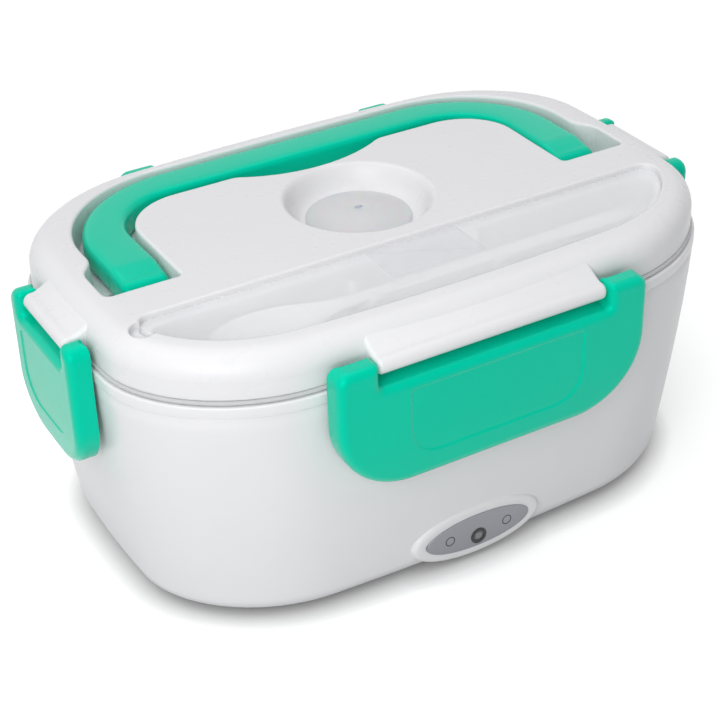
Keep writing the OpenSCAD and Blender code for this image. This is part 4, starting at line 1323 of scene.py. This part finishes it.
class LUNCHBOX_OT_latches(bpy.types.Operator):
    """Build the four latches"""

    bl_idname = "lunchbox.latches"
    bl_label = "Latches"

    def execute(self, context):
        for name, turn, reach, tab, rib in SIDES:
            shape = LONG_LATCH if name in ("front", "back") else SHORT_LATCH
            self.latch(context, name, shape, tab, rib, turn, reach)
        return {"FINISHED"}

    def latch(self, context, name, shape, tab, rib, turn, reach):
        """One latch, drawn flat: points are (x, height over the rod, distance out)."""
        half, r, drop, panel = shape
        sizes = context.scene.lunch_box_sizes
        edge, step = sizes.latch_edge / MM, sizes.panel_step / MM
        notch = tab + 0.5
        corners = [
            (half, -drop, r),
            (half, HEAD_TOP, EAR_R),
            (notch, HEAD_TOP, NOTCH_R),
            (notch, LIP_Z, NOTCH_R),
        ]
        face = soften(corners + mirrored(corners), step=2.0, bend_n=9)
        corners = [(panel, -35.5, 11), (panel, -9.2, 2.5)]
        panel_path = soften(corners + mirrored(corners), step=3.0)

        def drop_at(s):
            q = np.clip(s, 0, edge)
            return edge - np.sqrt(np.clip(edge**2 - (edge - q) ** 2, 0, None))

        def out_face(p):
            s = inside(face, p)
            t = np.clip(inside(panel_path, p) / 0.6, 0, 1)
            o = FACE_OUT - drop_at(s) - step * t * t * (3 - 2 * t)
            # The face leans in a little towards its lower edge
            return o - 0.9 * np.clip((-p[:, 1] - 26) / (drop - 26), 0, 1) ** 2

        def out_back(p):
            x, v = np.abs(p[:, 0]), p[:, 1]
            o = -np.interp(-v, [5, 7], [HEAD_BACK, HEAD_BACK - 0.2])
            o = np.where((x < notch - 1.2) & (v < -4) & (v > -9), np.maximum(o, -2.8), o)
            q = np.clip(v - HEAD_TOP + HEEL, 0, HEEL)
            o = o + HEEL - np.sqrt(HEEL**2 - q**2)
            return np.where((x < rib + 0.6) & (v < 19 - drop), np.maximum(o, -0.9), o)

        turned = turner(turn)

        def place(q):
            x, z, o = q
            return turned(x, -reach - TAB_OUT - o, HINGE_Z + z)

        def deep(p):
            return np.clip(out_face(p) - SKIN, -1, 2.4)

        form = Form()
        steps = (0, 0.01, 0.04, 0.1, 0.2, 0.33, 0.5, 0.73, 1.0, 1.2)
        rings = [offset(face, -k * edge) for k in steps]
        rings += [offset(panel_path, k) for k in (0.3, 0, -0.2, -0.4, -0.6, -1.0)]
        lines = [[(-half - 1, v), (half + 1, v)] for v in (-26, -30, -34, -38, -42)]
        form.relief(rings, out_face, extra=lines, place=place)
        flat = np.array(face)
        front = [place((x, z, o)) for (x, z), o in zip(face, out_face(flat))]
        back_o = out_back(flat)
        # The lip rises towards the back, up to the tab's curl
        rise = np.where(flat[:, 1] > -9, 1.1 * np.clip((notch - abs(flat[:, 0])) / 1.8, 0, 1), 0)
        rim = [place((x, z + h, o + 0.25)) for (x, z), o, h in zip(face, back_o, rise)]
        low = offset(face, -0.3)
        rim2 = [place((x, z + h, o)) for (x, z), o, h in zip(low, back_o, rise)]
        inner_path = offset(face, -WALL)
        # The back of the lip leaves room for the rim's band when the latch is pressed
        room = np.where((flat[:, 1] > -9) & (abs(flat[:, 0]) < notch - 1), -1.8, -9.0)
        rim3 = [place((x, z, max(o, q))) for (x, z), o, q in zip(inner_path, back_o, room)]
        rim4 = [place((x, z, o)) for (x, z), o in zip(inner_path, deep(np.array(inner_path)))]
        a, b = np.array(front), np.array(rim)
        mids = [a * (1 - k) + b * k for k in (0.2, 0.4, 0.6, 0.8)]
        form.loft([front] + mids + [rim, rim2, rim3, rim4], start=False, end=False)
        form.relief([inner_path], deep, place=place)
        self.rod(form, place, notch)
        self.hook(form, place, tab - 14)
        form.piece(
            f"{name}_clip", finish("mint_gloss"), f"latch_{name}", [f"{name}_latch"], "mint_plastic"
        )

    def rod(self, form, place, notch):
        section = [(z, o) for o, z in oval(1.5, 1.5, 24)]
        form.loft([[place((x, z, o)) for z, o in section] for x in (-notch - 1, notch + 1)])

    def hook(self, form, place, half):
        """The bar that snaps under the base's ledge."""
        root = 2.9
        top = SHELL_TOP - RIB_DROP - 0.3 - HINGE_Z
        tip = RIB_OUT - TAB_OUT + 0.25
        profile = (
            (root, top - 3.4),
            (tip + 1, top - 2.4),
            (tip + 0.25, top - 2.0),
            (tip, top - 1.4),
            (tip, top - 0.3),
            (tip + 0.3, top),
            (root, top),
        )
        form.loft([[place((x, z, o)) for o, z in profile] for x in (-half, half)])


# ---------------------------------------------------------------------------
# Nodes that keep their solid
# ---------------------------------------------------------------------------


class LUNCHBOX_OT_hidden_works(bpy.types.Operator):
    """Give the heating parts, the inlet, the fasteners and the inner mouldings their finishes"""

    bl_idname = "lunchbox.hidden_works"
    bl_label = "Inner works"

    def execute(self, context):
        kept = {
            "bottom_cover": "shell_white",
            "cover_screws": "plated_steel",
            "rubber_feet": "foot_rubber",
            "heating_plate": "heat_alloy",
            "ptc_heater": "heater_film",
            "heater_bracket": "plated_steel",
            "bracket_screws": "plated_steel",
            "thermostat": "bezel_black",
            "thermal_fuse": "fuse_glaze",
            "led_board": "board_green",
            "power_inlet": "inlet_black",
            "inlet_pins": "pin_brass",
            "wiring": "wire_red",
            "lid_lining": "liner_white",
        }
        for node, name in kept.items():
            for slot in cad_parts[node].material_slots:
                slot.material = finish(name)
        return {"FINISHED"}


# ---------------------------------------------------------------------------
# Stage
# ---------------------------------------------------------------------------


CAMERA_PLACE = (-0.26414, -0.46006, 0.38263)
CAMERA_TURN, CAMERA_DIP, CAMERA_ROLL, CAMERA_LENS = -29.473, 32.638, -1.62, 87.19
KEY_PLACE = (-0.45, -0.5, 0.36)
WHITE = (1, 1, 1, 1)


def grey(level):
    return (level, level, level, 1)


class LUNCHBOX_OT_stage(bpy.types.Operator):
    """Build the floor, the lamps, the world and the camera"""

    bl_idname = "lunchbox.stage"
    bl_label = "Stage"

    def execute(self, context):
        scene = context.scene
        scene.view_settings.view_transform = "Standard"
        self.floor(scene)
        self.world(scene)
        self.lamps(scene)
        data = bpy.data.cameras.new("view")
        data.lens, data.sensor_width = CAMERA_LENS, 36.0
        camera = bpy.data.objects.new("view", data)
        turn = (
            Matrix.Rotation(math.radians(CAMERA_TURN), 4, "Z")
            @ Matrix.Rotation(math.radians(90 - CAMERA_DIP), 4, "X")
            @ Matrix.Rotation(math.radians(CAMERA_ROLL), 4, "Z")
        )
        camera.matrix_world = Matrix.Translation(CAMERA_PLACE) @ turn
        scene.collection.objects.link(camera)
        scene.camera = camera
        return {"FINISHED"}

    def floor(self, scene):
        me = bpy.data.meshes.new("floor")
        me.from_pydata([(-4, -4, 0), (4, -4, 0), (4, 4, 0), (-4, 4, 0)], [], [(0, 1, 2, 3)])
        floor = bpy.data.objects.new("floor", me)
        scene.collection.objects.link(floor)
        mat = bpy.data.materials.new("floor_white")
        mat.use_nodes = True
        nodes, links = mat.node_tree.nodes, mat.node_tree.links
        nodes.clear()
        out = nodes.new("ShaderNodeOutputMaterial")
        paint = nodes.new("ShaderNodeBsdfDiffuse")
        paint.inputs["Color"].default_value = grey(0.6)
        bright = nodes.new("ShaderNodeBsdfDiffuse")
        glow = nodes.new("ShaderNodeEmission")
        glow.inputs["Color"].default_value = WHITE
        # Deepens the shadow in the narrow gap under the lunch box
        near = nodes.new("ShaderNodeAmbientOcclusion")
        near.samples = 16
        near.inputs["Distance"].default_value = 0.01
        deep = nodes.new("ShaderNodeMath")
        deep.operation = "POWER"
        deep.inputs[1].default_value = 0.9
        links.new(near.outputs["AO"], deep.inputs[0])
        strength = nodes.new("ShaderNodeMath")
        strength.operation = "MULTIPLY"
        strength.inputs[1].default_value = 0.3
        links.new(deep.outputs[0], strength.inputs[0])
        links.new(strength.outputs[0], glow.inputs["Strength"])
        shade = nodes.new("ShaderNodeMix")
        shade.data_type = "RGBA"
        shade.inputs[6].default_value = grey(0.3)
        shade.inputs[7].default_value = grey(0.92)
        links.new(deep.outputs[0], shade.inputs[0])
        links.new(shade.outputs[2], bright.inputs["Color"])
        add = nodes.new("ShaderNodeAddShader")
        mix = nodes.new("ShaderNodeMixShader")
        links.new(bright.outputs[0], add.inputs[0])
        links.new(glow.outputs[0], add.inputs[1])
        links.new(self.seen_directly(nodes, links), mix.inputs[0])
        links.new(paint.outputs[0], mix.inputs[1])
        links.new(add.outputs[0], mix.inputs[2])
        links.new(mix.outputs[0], out.inputs["Surface"])
        me.materials.append(mat)

    def seen_directly(self, nodes, links):
        """1 where a surface is seen by the eye, in a reflection or through glass."""
        rays = nodes.new("ShaderNodeLightPath")
        either, also = nodes.new("ShaderNodeMath"), nodes.new("ShaderNodeMath")
        either.operation = also.operation = "MAXIMUM"
        links.new(rays.outputs["Is Camera Ray"], either.inputs[0])
        links.new(rays.outputs["Is Glossy Ray"], either.inputs[1])
        links.new(either.outputs[0], also.inputs[0])
        links.new(rays.outputs["Is Transmission Ray"], also.inputs[1])
        return also.outputs[0]

    def world(self, scene):
        world = bpy.data.worlds.new("studio")
        scene.world = world
        world.use_nodes = True
        nodes, links = world.node_tree.nodes, world.node_tree.links
        nodes.clear()
        out = nodes.new("ShaderNodeOutputWorld")
        light = nodes.new("ShaderNodeBackground")
        light.inputs["Color"].default_value = WHITE
        light.inputs["Strength"].default_value = 0.32
        seen = nodes.new("ShaderNodeBackground")
        seen.inputs["Color"].default_value = WHITE
        seen.inputs["Strength"].default_value = 1.0
        mix = nodes.new("ShaderNodeMixShader")
        links.new(self.seen_directly(nodes, links), mix.inputs[0])
        links.new(light.outputs[0], mix.inputs[1])
        links.new(seen.outputs[0], mix.inputs[2])
        links.new(mix.outputs[0], out.inputs["Surface"])

    def lamps(self, scene):
        # A near soft box at the front left, so the light falls off towards the right
        key = bpy.data.lights.new("key", "AREA")
        key.shape, key.size, key.energy = "SQUARE", 0.5, 2.75
        self.aim(scene, key, KEY_PLACE, KEY_PLACE)
        top = bpy.data.lights.new("top", "SUN")
        top.energy, top.angle = 1.4, math.radians(70)
        self.aim(scene, top, (-0.1, 0.1, 1), (0, 0, 1))

    def aim(self, scene, data, towards, place):
        """Puts a lamp at its place, with the light coming from the given direction."""
        lamp = bpy.data.objects.new(data.name, data)
        lamp.location = place
        lamp.rotation_euler = Vector(towards).to_track_quat("Z", "Y").to_euler()
        scene.collection.objects.link(lamp)


# ---------------------------------------------------------------------------
# Panel, registration and the run
# ---------------------------------------------------------------------------

PIECES = (
    LUNCHBOX_OT_stage,
    LUNCHBOX_OT_shell,
    LUNCHBOX_OT_liner,
    LUNCHBOX_OT_indicator,
    LUNCHBOX_OT_containers,
    LUNCHBOX_OT_lid,
    LUNCHBOX_OT_seal,
    LUNCHBOX_OT_vent,
    LUNCHBOX_OT_spoon_set,
    LUNCHBOX_OT_handle,
    LUNCHBOX_OT_latches,
    LUNCHBOX_OT_hidden_works,
)


class LUNCHBOX_PT_pieces(bpy.types.Panel):
    """Lists the sizes, the colours and the pieces of the lunch box"""

    bl_idname = "LUNCHBOX_PT_pieces"
    bl_label = "Lunch Box"
    bl_space_type = "VIEW_3D"
    bl_region_type = "UI"
    bl_category = "Lunch Box"

    def draw(self, context):
        column = self.layout.column()
        for group in (context.scene.lunch_box_sizes, context.scene.lunch_box_colours):
            for key in group.bl_rna.properties.keys():
                if key not in ("rna_type", "name"):
                    column.prop(group, key)
        for piece in PIECES:
            column.operator(piece.bl_idname)


CLASSES = (LunchBoxSizes, LunchBoxColours) + PIECES + (LUNCHBOX_PT_pieces,)


def register():
    for cls in CLASSES:
        bpy.utils.register_class(cls)
    bpy.types.Scene.lunch_box_sizes = bpy.props.PointerProperty(type=LunchBoxSizes)
    bpy.types.Scene.lunch_box_colours = bpy.props.PointerProperty(type=LunchBoxColours)


def unregister():
    del bpy.types.Scene.lunch_box_colours
    del bpy.types.Scene.lunch_box_sizes
    for cls in reversed(CLASSES):
        bpy.utils.unregister_class(cls)


def main():
    register()
    for piece in PIECES:
        group, call = piece.bl_idname.split(".")
        getattr(getattr(bpy.ops, group), call)()


if __name__ == "__main__":
    main()
